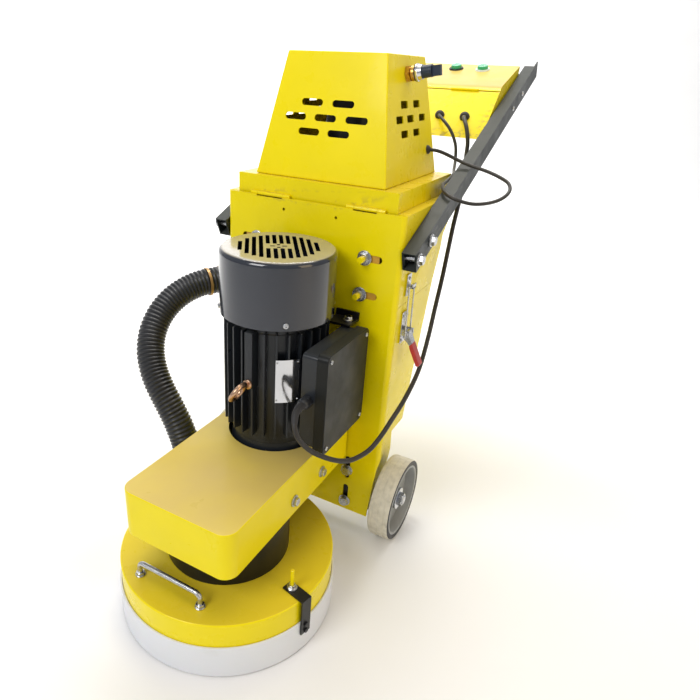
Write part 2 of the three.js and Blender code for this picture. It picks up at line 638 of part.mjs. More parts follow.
function buildMotorFittings() {
  const wall = 3;
  const shrink = ([a, b], by) => [a + by, b - by];
  const base = roundedBox(BOX_X, BOX_Y, BOX_Z, 8);
  const baseHollow = roundedBox([BOX_X[0] + wall, BOX_X[1] + 1], shrink(BOX_Y, wall), shrink(BOX_Z, wall),
    6);
  const glandHole = rod([GLAND.x, BOX_Y[0] - 5, GLAND.z], [GLAND.x, BOX_Y[0] + 8, GLAND.z], 8, 12);
  piece('terminal_box', cut(base, baseHollow, glandHole), 'motorPaint');

  const lidY = [BOX_Y[0] - 4, BOX_Y[1] + 4];
  const lidZ = [BOX_Z[0] - 6, BOX_Z[1] + 6];
  const lidBody = roundedBox(BOX_LID_X, lidY, lidZ, 12);
  const lidHollow = roundedBox([BOX_LID_X[0] - 1, BOX_LID_X[1] - wall], shrink(lidY, wall),
    shrink(lidZ, wall), 9);
  piece('terminal_lid', cut(lidBody, lidHollow), 'motorPaint');

  const glandBody = join(
    rod([GLAND.x, BOX_Y[0] - GAP, GLAND.z], [GLAND.x, BOX_Y[0] - 8, GLAND.z], GLAND.r, 6),
    rod([GLAND.x, BOX_Y[0] - 7, GLAND.z], [GLAND.x, BOX_Y[0] - 20, GLAND.z], GLAND.r - 1, 16, 8),
  );
  piece('cable_gland', glandBody, 'blackPaint');

  const eye = new THREE.TorusGeometry(EYE.ring, EYE.wire, 6, 16);
  eye.rotateY(Math.PI / 2 + EYE.tilt);
  eye.translate(EYE.x, EYE.y, EYE.z);
  const shankZ = EYE.z + 2;
  const shank = rod([EYE.x, EYE_BOSS_Y - GAP, shankZ], [EYE.x, EYE.y + EYE.ring, shankZ], 5, 12);
  piece('lifting_eye', join(solid(eye), shank), 'copper');

  const stayX = [70, 118];
  const stayZ = [507, 512];
  const stay = cut(
    join(
      block(stayX, [222, PANEL_FRONT - GAP], stayZ),
      block(stayX, [PANEL_FRONT - 5, PANEL_FRONT - GAP], [stayZ[0], stayZ[1] + 12]),
    ),
    rod([0, MOTOR_Y, stayZ[0] - 5], [0, MOTOR_Y, stayZ[1] + 30], FIN_R + 0.5, 40),
  );
  const stayBolt = rod([104, 245, stayZ[1] - 1], [104, 245, stayZ[1] + 8], 7, 6);
  piece('motor_stay', join(stay, stayBolt), 'blackPaint');
}

// ---------- chassis, filter chamber and dust bin ----------
const FRONT_STUDS = [{ x: 118, z: 631 }, { x: 114, z: 560 }];
const HINGES = [[-135, -48], [72, 148]];
const KNUCKLE = 15;              // length of each fixed hinge knuckle
function barBoltHoles() {
  return SIDES.flatMap((side) => BAR_BOLTS.map((along) => {
    const { y, z } = barPoint(along);
    return rod([side * (BODY_HALF - 8), y, z], [side * (BODY_HALF + 5), y, z], 6.2, 12);
  }));
}

function buildChassis() {
  const section = new THREE.Shape();
  const back = PANEL_FRONT + CORNER_R;
  const inner = BODY_HALF - (PANEL_BACK - PANEL_FRONT);
  section.moveTo(BODY_HALF, back);
  section.lineTo(inner, back);
  section.absarc(BODY_HALF - CORNER_R, back, inner - BODY_HALF + CORNER_R, 0, -Math.PI / 2, true);
  section.absarc(-BODY_HALF + CORNER_R, back, inner - BODY_HALF + CORNER_R, -Math.PI / 2, -Math.PI, true);
  section.lineTo(-BODY_HALF, back);
  section.absarc(-BODY_HALF + CORNER_R, back, CORNER_R, Math.PI, 1.5 * Math.PI, false);
  section.absarc(BODY_HALF - CORNER_R, back, CORNER_R, 1.5 * Math.PI, 2 * Math.PI, false);
  const panel = prismZ(section, PANEL_BOTTOM, BODY_TOP);
  const half = [[172, PANEL_BOTTOM], [181, 150], [184, 182], [189.5, 212], [190, 238], [190, BODY_TOP + 1]];
  const outline = [...half, ...half.map(([x, z]) => [-x, z]).reverse()];
  const shaped = panel.intersect(prismY(outline, PANEL_FRONT - 5, back + 5));

  const slotZ = (x, z0, z1) => join(
    block([x - 6.2, x + 6.2], [PANEL_FRONT - 5, PANEL_BACK + 5], [z0, z1]),
    rod([x, PANEL_FRONT - 5, z0], [x, PANEL_BACK + 5, z0], 6.2, 8),
    rod([x, PANEL_FRONT - 5, z1], [x, PANEL_BACK + 5, z1], 6.2, 8),
  );
  const slotX = (x0, x1, z) => join(
    block([x0, x1], [PANEL_FRONT - 5, PANEL_BACK + 5], [z - 7, z + 7]),
    rod([x0, PANEL_FRONT - 5, z], [x0, PANEL_BACK + 5, z], 7, 8),
    rod([x1, PANEL_FRONT - 5, z], [x1, PANEL_BACK + 5, z], 7, 8),
  );
  const slots = SIDES.flatMap((side) => [
    slotZ(side * 119, 144, 188), slotZ(side * 119, 74, 115),
    ...FRONT_STUDS.map(({ x, z }) => slotX(...span(side, [x - 4, x + 28]), z)),
  ]);
  const window = block([-TONGUE.half - 2, TONGUE.half + 2], [PANEL_FRONT - 5, PANEL_BACK + 5],
    [TONGUE.z[0] - 12, TONGUE.z[1] + 2]);
  const smallHoles = [-58, 54].map((x) => rod([x, PANEL_FRONT - 5, 695], [x, PANEL_BACK + 5, 695], 3, 8));

  const sideOutline = [[PANEL_BACK - 1, 60], [300, 56], [345, 56], [392, 160], [384, BIN_FLOOR - GAP],
    [PANEL_BACK - 1, BIN_FLOOR - GAP]];
  const plates = SIDES.map((side) => prismX(sideOutline, ...span(side, [163, 167])));
  const shelf = block([-164, 164], [PANEL_BACK - 1, 383], [BIN_FLOOR - 3.3, BIN_FLOOR - GAP]);
  const axleHole = rod([-200, WHEEL_Y, WHEEL_R], [200, WHEEL_Y, WHEEL_R], AXLE_R + GAP, 20);

  const knuckles = HINGES.flatMap(([x0, x1]) => [
    rod([x0, HINGE_Y, HINGE_Z], [x0 + KNUCKLE, HINGE_Y, HINGE_Z], 4, 8),
    rod([x1 - KNUCKLE, HINGE_Y, HINGE_Z], [x1, HINGE_Y, HINGE_Z], 4, 8),
    rod([x0 + 1, HINGE_Y, HINGE_Z], [x1 - 1, HINGE_Y, HINGE_Z], 2, 8),
  ]);
  const notches = HINGES.map(([x0, x1]) =>
    block([x0 + KNUCKLE - 0.4, x1 - KNUCKLE + 0.4], [PANEL_FRONT - 5, PANEL_BACK + 5],
      [713.3, BODY_TOP + 1]));
  const frame = cut(join(cut(shaped, slots, window, smallHoles, notches, barBoltHoles()), plates, shelf),
    axleHole);
  piece('chassis_frame', join(frame, knuckles), 'yellowPaint');
}

const CHAMBER = [[SIDE_START, BIN_SEAM + GAP], [467.5, BIN_SEAM + GAP], [495, 612], [500, 640],
  [REAR_TOP, 704],
  [REAR_TOP, BODY_TOP], [SIDE_START, BODY_TOP]];
const BIN = [[SIDE_START, BIN_FLOOR], [383, BIN_FLOOR], [467, BIN_SEAM - GAP],
  [SIDE_START, BIN_SEAM - GAP]];
const FILTER_Y = 385;
const SEAT_Z = [690, 693];
function buildChamber() {
  const shell = prismX(CHAMBER, -BODY_HALF, BODY_HALF);
  const hollow = prismX(inset(CHAMBER, [-5, SHEET, SHEET, SHEET, SHEET, SHEET, -5]), -BODY_HALF + SHEET,
    BODY_HALF - SHEET);
  const topOpening = block([-150, 150], [300, 548], [BODY_TOP - 6, BODY_TOP + 1]);
  const seat = cut(
    block([-BODY_HALF + 1, BODY_HALF - 1], [SIDE_START, 554], SEAT_Z),
    rod([0, FILTER_Y, SEAT_Z[0] - 5], [0, FILTER_Y, SEAT_Z[1] + 5], 66, 24),
  );
  const keepers = LATCHES.map((latch) => latchKeeper(latch));
  piece('filter_chamber', join(cut(join(cut(shell, hollow, topOpening), seat), barBoltHoles()), keepers),
    'yellowPaint');
}

function buildFilter() {
  piece('filter_cartridge', turned([
    [38, 575], [62, 575], [62, SEAT_Z[1] + GAP], [76, SEAT_Z[1] + GAP], [76, SEAT_Z[1] + 7],
    [38, SEAT_Z[1] + 7],
  ], 0, FILTER_Y, 24), 'paper');
}

const INLET = { start: [-BODY_HALF, 330, 517], direction: [-0.545, -0.838, 0], length: 46, r: 26,
  bore: 23.5 };
const inletPoint = (distance) => INLET.start.map((value, i) => value + INLET.direction[i] * distance);
function buildBin() {
  const shell = prismX(BIN, -BODY_HALF, BODY_HALF);
  const hollow = prismX(inset(BIN, [SHEET, SHEET, -5, SHEET]), -BODY_HALF + SHEET, BODY_HALF - SHEET);
  const stub = cut(
    rod(inletPoint(-10), inletPoint(INLET.length), INLET.r, 16),
    block([-BODY_HALF + 1, -BODY_HALF + 60], [200, 420], [450, 600]),
  );
  const inletHole = rod(inletPoint(-30), inletPoint(INLET.length + 5), INLET.bore, 16);
  const bases = LATCHES.map((latch) => latchBase(latch));
  piece('dust_bin', join(cut(join(cut(shell, hollow), stub), inletHole), bases), 'yellowPaint');
}

// The two bolts that hold each handle bar, in a nut plate inside the filter chamber.
function buildBarBolts() {
  for (const side of SIDES) {
    const bolts = BAR_BOLTS.map((along) => {
      const { y, z } = barPoint(along);
      return hexBolt([side * (BAR_X[1] + GAP), y, z], [side, 0, 0], BAR_BOLT);
    });
    const nutPlate = prismX(barOutline(BAR_BOLTS[0] + 2, BAR_BOLTS[1] + 12, -8, 8),
      ...span(side, [BODY_HALF - SHEET - 5, BODY_HALF - SHEET - GAP]));
    piece(side > 0 ? 'right_bar_bolts' : 'left_bar_bolts', join(bolts, nutPlate), 'steel');
  }
}

// ---------- wheels ----------
function buildWheels() {
  const nut = [WHEEL_OUTER - 9, WHEEL_OUTER + 2];
  const axle = join(
    rod([-nut[1], WHEEL_Y, WHEEL_R], [nut[1], WHEEL_Y, WHEEL_R], AXLE_R, 16),
    SIDES.flatMap((side) => [
      rod([side * nut[0], WHEEL_Y, WHEEL_R], [side * (nut[1] - 2), WHEEL_Y, WHEEL_R], 15, 6),
      rod([side * 168, WHEEL_Y, WHEEL_R], [side * (WHEEL_INNER - 1), WHEEL_Y, WHEEL_R], 14, 12),
    ]),
  );
  piece('wheel_axle', axle, 'steel');
  for (const side of SIDES) {
    const name = side > 0 ? 'right' : 'left';
    const along = (outline) => outline.map(([r, x]) => [r, side * x]);
    piece(`${name}_tyre`, turnedX(along([
      [78.3, WHEEL_INNER + 1], [87, WHEEL_INNER], [WHEEL_R, WHEEL_INNER + 4], [WHEEL_R, WHEEL_OUTER - 4],
      [87, WHEEL_OUTER],
      [78.3, WHEEL_OUTER - 1],
    ]), WHEEL_Y, WHEEL_R, 24), 'tread');
    piece(`${name}_wheel_core`, turnedX(along([
      [AXLE_R + GAP, WHEEL_INNER], [28, WHEEL_INNER], [30, WHEEL_INNER + 14], [70, WHEEL_INNER + 14],
      [72, WHEEL_INNER + 1],
      [78, WHEEL_INNER + 1], [78, WHEEL_OUTER - 1], [72, WHEEL_OUTER - 1], [70, WHEEL_INNER + 24],
      [26, WHEEL_INNER + 24],
      [24, nut[0] - 1], [AXLE_R + GAP, nut[0] - 1],
    ]), WHEEL_Y, WHEEL_R, 24), 'castIron');
  }
}

// ---------- lid, hood and vacuum motor ----------
function buildLid() {
  const tray = block([-LID_HALF, LID_HALF], LID_Y, LID_Z);
  const hollow = block([-LID_HALF + SHEET, LID_HALF - SHEET], [LID_Y[0] + SHEET, LID_Y[1] - SHEET],
    [LID_Z[0] - 1, LID_Z[1] - SHEET]);
  const suction = rod([0, VACUUM_Y, LID_Z[1] - 10], [0, VACUUM_Y, LID_Z[1] + 5], 32, 24);
  const knuckles = HINGES.map(([x0, x1]) => {
    const [a, b] = [x0 + KNUCKLE + 0.5, x1 - KNUCKLE - 0.5];
    const barrel = join(
      rod([a, HINGE_Y, HINGE_Z], [b, HINGE_Y, HINGE_Z], 4, 8),
      block([a, b], [HINGE_Y, LID_Y[0] + 1], [HINGE_Z - 1, HINGE_Z + 4]),
    );
    return cut(barrel, rod([a - 1, HINGE_Y, HINGE_Z], [b + 1, HINGE_Y, HINGE_Z], 2.5, 8));
  });
  piece('lid', join(cut(tray, hollow, suction), knuckles), 'yellowPaint');
}

// A four-sided tapered block between two rectangles, drawn in from its faces by an inset.
function taperedBlock(base, top, drawIn, stretch) {
  const corners = ({ half, front, rear, z }) => [
    [-half + drawIn, front + drawIn, z], [half - drawIn, front + drawIn, z],
    [half - drawIn, rear - drawIn, z], [-half + drawIn, rear - drawIn, z],
  ];
  const low = corners(base);
  const high = corners(top);
  const extend = (a, b, z) => a.map((value, i) => value + ((b[i] - value) * (z - a[2])) / (b[2] - a[2]));
  const vertices = [
    ...low.map((point, i) => extend(point, high[i], base.z + stretch[0])),
    ...low.map((point, i) => extend(point, high[i], top.z + stretch[1])),
  ];
  const faces = [[0, 3, 2, 1], [4, 5, 6, 7], [0, 1, 5, 4], [1, 2, 6, 5], [2, 3, 7, 6], [3, 0, 4, 7]];
  const geometry = new THREE.BufferGeometry();
  geometry.setAttribute('position', new THREE.Float32BufferAttribute(vertices.flat(), 3));
  geometry.setIndex(faces.flatMap(([a, b, c, d]) => [a, b, c, a, c, d]));
  return solid(geometry);
}

const FRONT_SLOTS = [[[-34, 29], 886], [[-65, -3, 60], 860.5], [[-33, 28], 835.5]];
const SIDE_VENTS = [[[400, 463], 888], [[374, 428, 491], 863], [[395, 457], 837.5]];
const LEAD_HOLE = { y: 516, z: 800 };
const SELECTOR_AT = { y: 421, z: 939 };
function buildHood() {
  const shell = taperedBlock(HOOD_BASE, HOOD_TOP, 0, [0, 0]);
  const hollow = taperedBlock(HOOD_BASE, HOOD_TOP, SHEET, [-5, -SHEET]);
  const slots = FRONT_SLOTS.flatMap(([xs, z]) => xs.map((x) => join(
    block([x - 16, x + 16], [280, 345], [z - 6, z + 6]),
    rod([x - 16, 280, z], [x - 16, 345, z], 6, 8),
    rod([x + 16, 280, z], [x + 16, 345, z], 6, 8),
  )));
  const vents = SIDE_VENTS.flatMap(([ys, z]) => ys.map((y) => block([-160, 160], [y - 17, y + 17],
    [z - 6.5, z + 6.5])));
  const leadHole = rod([110, LEAD_HOLE.y, LEAD_HOLE.z], [150, LEAD_HOLE.y, LEAD_HOLE.z], 6, 12);
  const selectorHole = rod(selectorPoint(-12), selectorPoint(8), 8, 16);
  piece('hood', cut(shell, hollow, slots, vents, leadHole, selectorHole), 'yellowPaint');
}

function buildVacuumMotor() {
  const floor = LID_Z[1] + GAP + 0.3;
  piece('vacuum_motor', turned([
    [30, floor], [72, floor], [72, floor + 60], [52, floor + 66], [48, floor + 150], [30, floor + 156],
    [20, floor + 156], [20, floor + 140], [30, floor + 130],
  ], 0, VACUUM_Y, 20), 'steel');
}

// The side of the hood leans in; the selector stands square to it.
const HOOD_LEAN = Math.atan2(HOOD_BASE.half - HOOD_TOP.half, HOOD_TOP.z - HOOD_BASE.z);
const SELECTOR_AXIS = [Math.cos(HOOD_LEAN), 0, Math.sin(HOOD_LEAN)];
function selectorPoint(distance) {
  const up = (SELECTOR_AT.z - HOOD_BASE.z) / (HOOD_TOP.z - HOOD_BASE.z);
  const x = HOOD_BASE.half + (HOOD_TOP.half - HOOD_BASE.half) * up;
  return [x + SELECTOR_AXIS[0] * distance, SELECTOR_AT.y, SELECTOR_AT.z + SELECTOR_AXIS[2] * distance];
}
function buildSelector() {
  const at = selectorPoint;
  const collar = join(
    rod(at(-20), at(1), 7.6, 16),
    rod(at(0.5), at(19), 15, 16, 13),
    rod(at(18), at(23), 15.5, 16),
    rod(at(22.5), at(30), 14, 16, 12.5),
  );
  piece('selector_base', collar, 'brass');
  const knob = rod(at(30.4), at(48), 11, 20);
  const lever = new THREE.BoxGeometry(24, 9, 18);
  lever.translate(12, 0, -1);
  lever.rotateY(-HOOD_LEAN);
  lever.translate(...at(40));
  piece('selector_knob', join(knob, solid(lever)), 'blackPaint');
}

// ---------- handle and controls ----------
function barPoint(along, up = 0) {
  const c = Math.cos(BAR_ANGLE);
  const s = Math.sin(BAR_ANGLE);
  return { y: BAR_START.y + along * c - up * s, z: BAR_START.z + along * s + up * c };
}
const barOutline = (a0, a1, u0, u1) => [[a0, u0], [a1, u0], [a1, u1], [a0, u1]].map(([along, up]) => {
  const { y, z } = barPoint(along, up);
  return [y, z];
});
function buildHandle() {
  const half = BAR_DEPTH / 2;
  for (const side of SIDES) {
    const outer = prismX(barOutline(0, BAR_LENGTH, -half, half), ...span(side, BAR_X));
    const inner = prismX(barOutline(-5, BAR_LENGTH + 5, -half + BAR_WALL, half - BAR_WALL),
      ...span(side, [BAR_X[0] + BAR_WALL, BAR_X[1] - BAR_WALL]));
    const end = barPoint(BAR_LENGTH - 12, half + 4);
    const tip = [side * (BAR_X[0] - 2), side * (BAR_X[1] - BAR_WALL - 0.5)];
    const notch = join(
      rod([tip[0], end.y, end.z], [tip[1], end.y, end.z], 18, 16),
      prismX(barOutline(BAR_LENGTH - 12, BAR_LENGTH + 8, -half + 6, half + 4), Math.min(...tip),
        Math.max(...tip)),
    );
    const holes = BAR_BOLTS.map((along) => {
      const { y, z } = barPoint(along);
      return rod([side * (BAR_X[0] - 5), y, z], [side * (BAR_X[1] + 5), y, z], 5.9, 12);
    });
    piece(side > 0 ? 'right_handle_bar' : 'left_handle_bar', cut(outer, inner, notch, holes), 'barPaint');
  }
  const reach = BAR_X[0] - GAP;
  piece('grip_bar', rod([-reach, GRIP.y, GRIP.z], [reach, GRIP.y, GRIP.z], GRIP.r, 16), 'blackRubber');
}

const CONTROL = [[701, 812], [973, 921], [973, 963.4], [819.1, 917.7], [809.7, 908.7], [804.5, 907.2]];
const CABLE_HOLES = [{ x: 72, r: 7.5 }, { x: 131, r: 8 }];
const CABLE_HOLE_AT = { y: 743, z: 854.5 };
const CONTROL_HINGE = { y: 806, z: 911 };
function buildControlBox() {
  const shell = prismX(CONTROL, -CONTROL_HALF, CONTROL_HALF);
  const hollow = prismX(inset(CONTROL, [CONTROL_SHEET, CONTROL_SHEET, -5, -5, -5, CONTROL_SHEET]),
    -CONTROL_HALF + CONTROL_SHEET, CONTROL_HALF - CONTROL_SHEET);
  const holes = CABLE_HOLES.map(({ x, r }) =>
    rod([x, CABLE_HOLE_AT.y - 16, CABLE_HOLE_AT.z + 4], [x, CABLE_HOLE_AT.y + 20, CABLE_HOLE_AT.z - 5], r,
      12));
  piece('control_box', cut(shell, hollow, holes), 'yellowPaint');
}

// The control box's top panel, a folded sheet that is hinged along its front lip.
const PANEL_SLOPE = Math.atan2(PANEL_EDGE_REAR[1] - PANEL_EDGE_FRONT[1],
  PANEL_EDGE_REAR[0] - PANEL_EDGE_FRONT[0]);
function panelPoint(along, up) {
  const c = Math.cos(PANEL_SLOPE);
  const s = Math.sin(PANEL_SLOPE);
  return [PANEL_EDGE_FRONT[0] + along * c - up * s, PANEL_EDGE_FRONT[1] + along * s + up * c];
}
function buildControlLid() {
  const folded = [
    [809.4, 909.2], [818.9, 918.1], [973.4, 964], [973.4, 956], [975.4, 956], PANEL_EDGE_REAR,
    PANEL_EDGE_FRONT,
    [808, 910.6],
  ];
  const sheet = prismX(folded, -CONTROL_HALF, CONTROL_HALF);
  const knuckles = SIDES.map((side) => rod([side * 72, CONTROL_HINGE.y, CONTROL_HINGE.z],
    [side * 138, CONTROL_HINGE.y, CONTROL_HINGE.z], 3, 10));
  const holes = BUTTON_X.map((x) => rod([x, ...panelPoint(BUTTON_ALONG, -8)],
    [x, ...panelPoint(BUTTON_ALONG, 8)],
    BUTTON_HOLE_R, 12));
  const bezels = BUTTON_X.map((x) => cut(
    rod([x, ...panelPoint(BUTTON_ALONG, -1)], [x, ...panelPoint(BUTTON_ALONG, BEZEL_TOP)], 17.5, 12, 16),
    rod([x, ...panelPoint(BUTTON_ALONG, -4)], [x, ...panelPoint(BUTTON_ALONG, 9)], BUTTON_HOLE_R, 12),
  ));
  piece('control_lid', join(cut(sheet, holes), knuckles, bezels), 'yellowPaint');
  BUTTON_X.forEach((x, i) => {
    const top = BEZEL_TOP + 3.5 + BUTTON_TRAVEL;
    piece(`start_button_${i + 1}`,
      rod([x, ...panelPoint(BUTTON_ALONG, -16)], [x, ...panelPoint(BUTTON_ALONG, top)], BUTTON_R, 12),
        'green');
  });
}

// ---------- toggle latches ----------
const LATCH_HALF = 9;            // half width of a lever
function latchBlock({ side, y }, xs, ys, zs) {
  return block(span(side, xs), ys.map((value) => y + value), zs);
}
function latchPin({ side, y }, { x, z }, reach, radius) {
  return rod([side * x, y - reach, z], [side * x, y + reach, z], radius, 10);
}

// The base on the dust bin, with two ears and the lever's pin.
function latchBase(latch) {
  const ears = [BODY_HALF + 1, LATCH_PIVOT.x + 5];
  return join(
    latchBlock(latch, [BODY_HALF - 1, BODY_HALF + 2], [-13, 13], [466, 528]),
    latchBlock(latch, ears, [-LATCH_HALF - 2.3, -LATCH_HALF - 0.4], [483, 494]),
    latchBlock(latch, ears, [LATCH_HALF + 0.4, LATCH_HALF + 2.3], [483, 494]),
    latchPin(latch, LATCH_PIVOT, LATCH_HALF + 2.2, 2),
  );
}

// The hook on the filter chamber.
function latchKeeper(latch) {
  return join(
    latchBlock(latch, [BODY_HALF - 1, BODY_HALF + 2], [-9, 9], [562, 602]),
    latchBlock(latch, [BODY_HALF + 1, 203.6], [-7, 7], [577.5, 580]),
    latchBlock(latch, [201.2, 203.6], [-7, 7], [577.6, 586]),
  );
}

function buildLatches() {
  for (const latch of LATCHES) {
    const { name, side, y } = latch;
    const leverOutline = [[200.5, 492.5], [205.5, 493], [209, 481], [214.5, 468.5], [234, 428],
      [229.5, 425.5],
      [211, 463], [202, 471.5], [197.6, 475]];
    const lever = cut(
      prismY(leverOutline.map(([x, z]) => [side * x, z]), y - LATCH_HALF, y + LATCH_HALF),
      latchPin(latch, LATCH_PIVOT, LATCH_HALF + 1, 2.4),
      latchPin(latch, BAIL_PIVOT, LATCH_HALF + 1, 1.9),
    );
    piece(`${name}_latch_lever`, lever, 'red');
    const wire = 1.5;
    const leg = LATCH_HALF + 4.5;
    const legs = SIDES.map((end) => rod([side * BAIL_PIVOT.x, y + end * leg, BAIL_PIVOT.z - wire],
      [side * BAIL_TOP.x, y + end * leg, BAIL_TOP.z + wire], wire, 8));
    piece(`${name}_latch_bail`, join(legs, latchPin(latch, BAIL_TOP, leg, wire),
      latchPin(latch, BAIL_PIVOT, leg, wire)),
      'steel');
  }
}

// ---------- hose and leads ----------
// Each route is a list of points chosen by hand, from end to end.
const HOSE_ROUTE = [
  inletPoint(INLET.length + GAP), inletPoint(INLET.length + 22), [-245, 243, 514], [-261, 213, 505],
    [-273, 181, 489],
  [-279, 150, 466], [-277, 122, 437], [-266, 100, 405], [-247, 85, 373], [-223, 76, 343], [-198, 72, 312],
  [-172, 70, 271],
  [-155, 70, 225], [PORT.x, PORT.y, PORT.top + 14], [PORT.x, PORT.y, PORT.top + GAP],
];
const MOTOR_LEAD_ROUTE = [
  [GLAND.x, BOX_Y[0] - 20 - GAP, GLAND.z], [GLAND.x, 55, GLAND.z], [114, 39, 413], [120, 26, 401],
  [128, 21, 385], [138, 27, 367], [150, 38, 351], [163, 51, 339], [174, 62, 331], [185, 78, 322],
  [196, 96, 317], [206, 118, 317], [214, 142, 321],
  [219, 175, 331], [222, 215, 346], [225, 275, 368], [226, 335, 405], [223, 378, 456], [219, 412, 509],
  [217, 441, 568],
  [214, 466, 622], [210, 492, 662], [205, 525, 694], [198, 560, 713], [190, 592, 724], [178, 632, 741],
  [170, 664, 758],
  [165, 679, 779], [163, 685, 801], [158, 690, 821], [150, 699, 838], [141, 712, 849], [134, 727, 854],
  [131, CABLE_HOLE_AT.y, CABLE_HOLE_AT.z],
];
const VACUUM_LEAD_ROUTE = [
  [72, CABLE_HOLE_AT.y, CABLE_HOLE_AT.z], [75, 730, 854.5], [84, 717, 851], [98, 705, 843],
  [113, 697, 831], [126, 691, 815],
  [136, 686, 796], [141, 680, 776], [146, 666, 760], [153, 640, 751], [163, 607, 748], [171, 577, 749],
  [176, 543, 747],
  [179, 505, 744], [183, 472, 743], [190, 449, 741], [201, 432, 736], [215, 423, 731], [233, 423, 726],
  [255, 430, 722],
  [276, 443, 723], [294, 460, 728], [305, 480, 736], [307, 499, 745], [299, 515, 754], [281, 525, 761],
  [258, 529, 768],
  [236, 531, 773], [216, 533, 777], [199, 535, 781], [184, 535, 786], [170, 531, 792], [156, 523, 798],
  [144, 518, 801],
  [133.5, LEAD_HOLE.y, LEAD_HOLE.z + 1],
];
function buildCords() {
  piece('suction_hose', tube(HOSE_ROUTE, 29, 12, 58), 'blackRubber');
  piece('motor_lead', tube(MOTOR_LEAD_ROUTE, 4.5, 8), 'blackRubber');
  piece('vacuum_lead', tube(VACUUM_LEAD_ROUTE, 3.5, 8), 'blackRubber');
}

buildShroud();
buildSkirt();
buildBrackets();
buildLiftHandle();
buildSpindleHousing();
buildSpindle();
buildBeltDrive();
buildBeltHousing();
buildBeltBase();
buildClampPlate();
buildDeflector();
buildMotorShell();
buildCowl();
buildMotorInside();
buildMotorFittings();
buildChassis();
buildChamber();
buildFilter();
buildBin();
buildBarBolts();
buildWheels();
buildLid();
buildHood();
buildVacuumMotor();
buildSelector();
buildHandle();
buildControlBox();
buildControlLid();
buildLatches();
buildCords();

export default model;
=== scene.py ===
"""A walk-behind concrete grinder with a built-in dust collector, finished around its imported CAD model.

Lengths in the helper calls are millimetres, measured as in the CAD source: Y from the grinding axis,
+Y towards the handle, Z from the floor. at() turns such a point into metres in the row frame.
"""
import json
import math

import bmesh
import bpy
from mathutils import Matrix, Vector

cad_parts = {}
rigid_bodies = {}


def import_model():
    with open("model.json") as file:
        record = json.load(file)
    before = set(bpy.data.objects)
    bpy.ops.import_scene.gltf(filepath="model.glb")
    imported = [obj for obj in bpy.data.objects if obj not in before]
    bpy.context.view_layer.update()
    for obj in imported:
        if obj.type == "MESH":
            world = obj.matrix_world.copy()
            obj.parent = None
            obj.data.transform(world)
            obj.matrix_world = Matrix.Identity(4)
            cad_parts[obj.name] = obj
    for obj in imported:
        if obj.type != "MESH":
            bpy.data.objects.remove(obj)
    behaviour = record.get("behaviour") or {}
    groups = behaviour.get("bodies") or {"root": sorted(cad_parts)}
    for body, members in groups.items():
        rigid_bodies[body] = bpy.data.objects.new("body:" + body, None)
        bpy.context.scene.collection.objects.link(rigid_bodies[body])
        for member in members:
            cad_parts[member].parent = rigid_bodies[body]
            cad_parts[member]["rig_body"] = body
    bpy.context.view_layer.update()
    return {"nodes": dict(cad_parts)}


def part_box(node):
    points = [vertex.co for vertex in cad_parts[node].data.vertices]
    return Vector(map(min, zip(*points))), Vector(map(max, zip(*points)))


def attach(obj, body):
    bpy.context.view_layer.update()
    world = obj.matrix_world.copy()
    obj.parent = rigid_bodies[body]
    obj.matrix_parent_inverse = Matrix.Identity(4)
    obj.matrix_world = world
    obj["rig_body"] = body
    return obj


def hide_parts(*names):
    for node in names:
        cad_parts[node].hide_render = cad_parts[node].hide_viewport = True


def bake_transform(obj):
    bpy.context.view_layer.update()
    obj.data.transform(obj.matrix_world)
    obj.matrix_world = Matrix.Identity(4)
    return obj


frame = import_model()

MM = 0.001
skirt_low, skirt_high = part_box("dust_skirt")
AXIS_Y = (skirt_low.y + skirt_high.y) / 2     # the grinding axis, in metres


def at(x, y, z):
    return Vector((x * MM, AXIS_Y + y * MM, z * MM))


# ---------- driving dimensions, in millimetres ----------
SHROUD_TOP = 117
SHROUD_R = 200
DRUM_R = 115.5
STUD_RADIUS = 171
BRACKET_ANGLES = (-14, 128)
ARM_Z = 227                 # the height of the arm's side bolts
ARM_BOLT_Y = (45, 149)
MOTOR_Y = 157
MOTOR_OPENING_R = 91
COWL_R = 105
COWL_TOP = 657
COWL_BOTTOM = 539
FIN_R = 98
FIN_COUNT = 28
FRAME_Z = (300.3, 536)
NAMEPLATE = {"r": 98.4, "angle": -46, "width": 25, "low": 398, "high": 482, "thick": 0.8}
EYE = {"x": 5, "y": 26, "z": 427, "ring": 17.5, "wire": 4.5, "tilt": 0.51}
WHEEL_Y = 322
WHEEL_R = 90
WHEEL_X = (187.5, 234)
BAR_ANGLE = math.radians(22.55)
BAR_START = (266, 637.4)
BAR_BOLTS = (14, 74)
BAR_SCREWS = (618, 700)
BAR_BOLT_X = 216.3
BAR_SCREW_X = 215.8
SHEET_FRONT = 265.7         # just in front of the chassis sheet, where nuts and bolt heads sit
GRIP_AT = (0, 1008, 936)
FILTER_Y = 385
LATCHES = {"right": (1, 312), "left": (-1, 400)}
BUTTON_X = (39, 106)
PANEL_EDGE = (818, 920)
PANEL_SLOPE = math.atan2(46.7, 157.4)
BUTTON_ALONG = 122
HOOD_BASE = {"half": 136.6, "front": 288.5, "rear": 560, "z": 752.3}
HOOD_TOP = {"half": 99, "front": 336, "rear": 525, "z": 971.5}
HOOD_LEAN = math.atan2(HOOD_BASE["half"] - HOOD_TOP["half"], HOOD_TOP["z"] - HOOD_BASE["z"])
SELECTOR_FOOT = (104.6, 421, 939)
SELECTOR_AXIS = (math.cos(HOOD_LEAN), 0, math.sin(HOOD_LEAN))

# ---------- camera ----------
CAMERA_AT = (539.2, -717.5, 943.9)
CAMERA_AZIMUTH = math.radians(28.9)
CAMERA_ELEVATION = math.radians(24.6)
CAMERA_ROLL = math.radians(2.5)
CAMERA_LENS = 30.9
CAMERA_SHIFT = (0.0676, -0.0113)


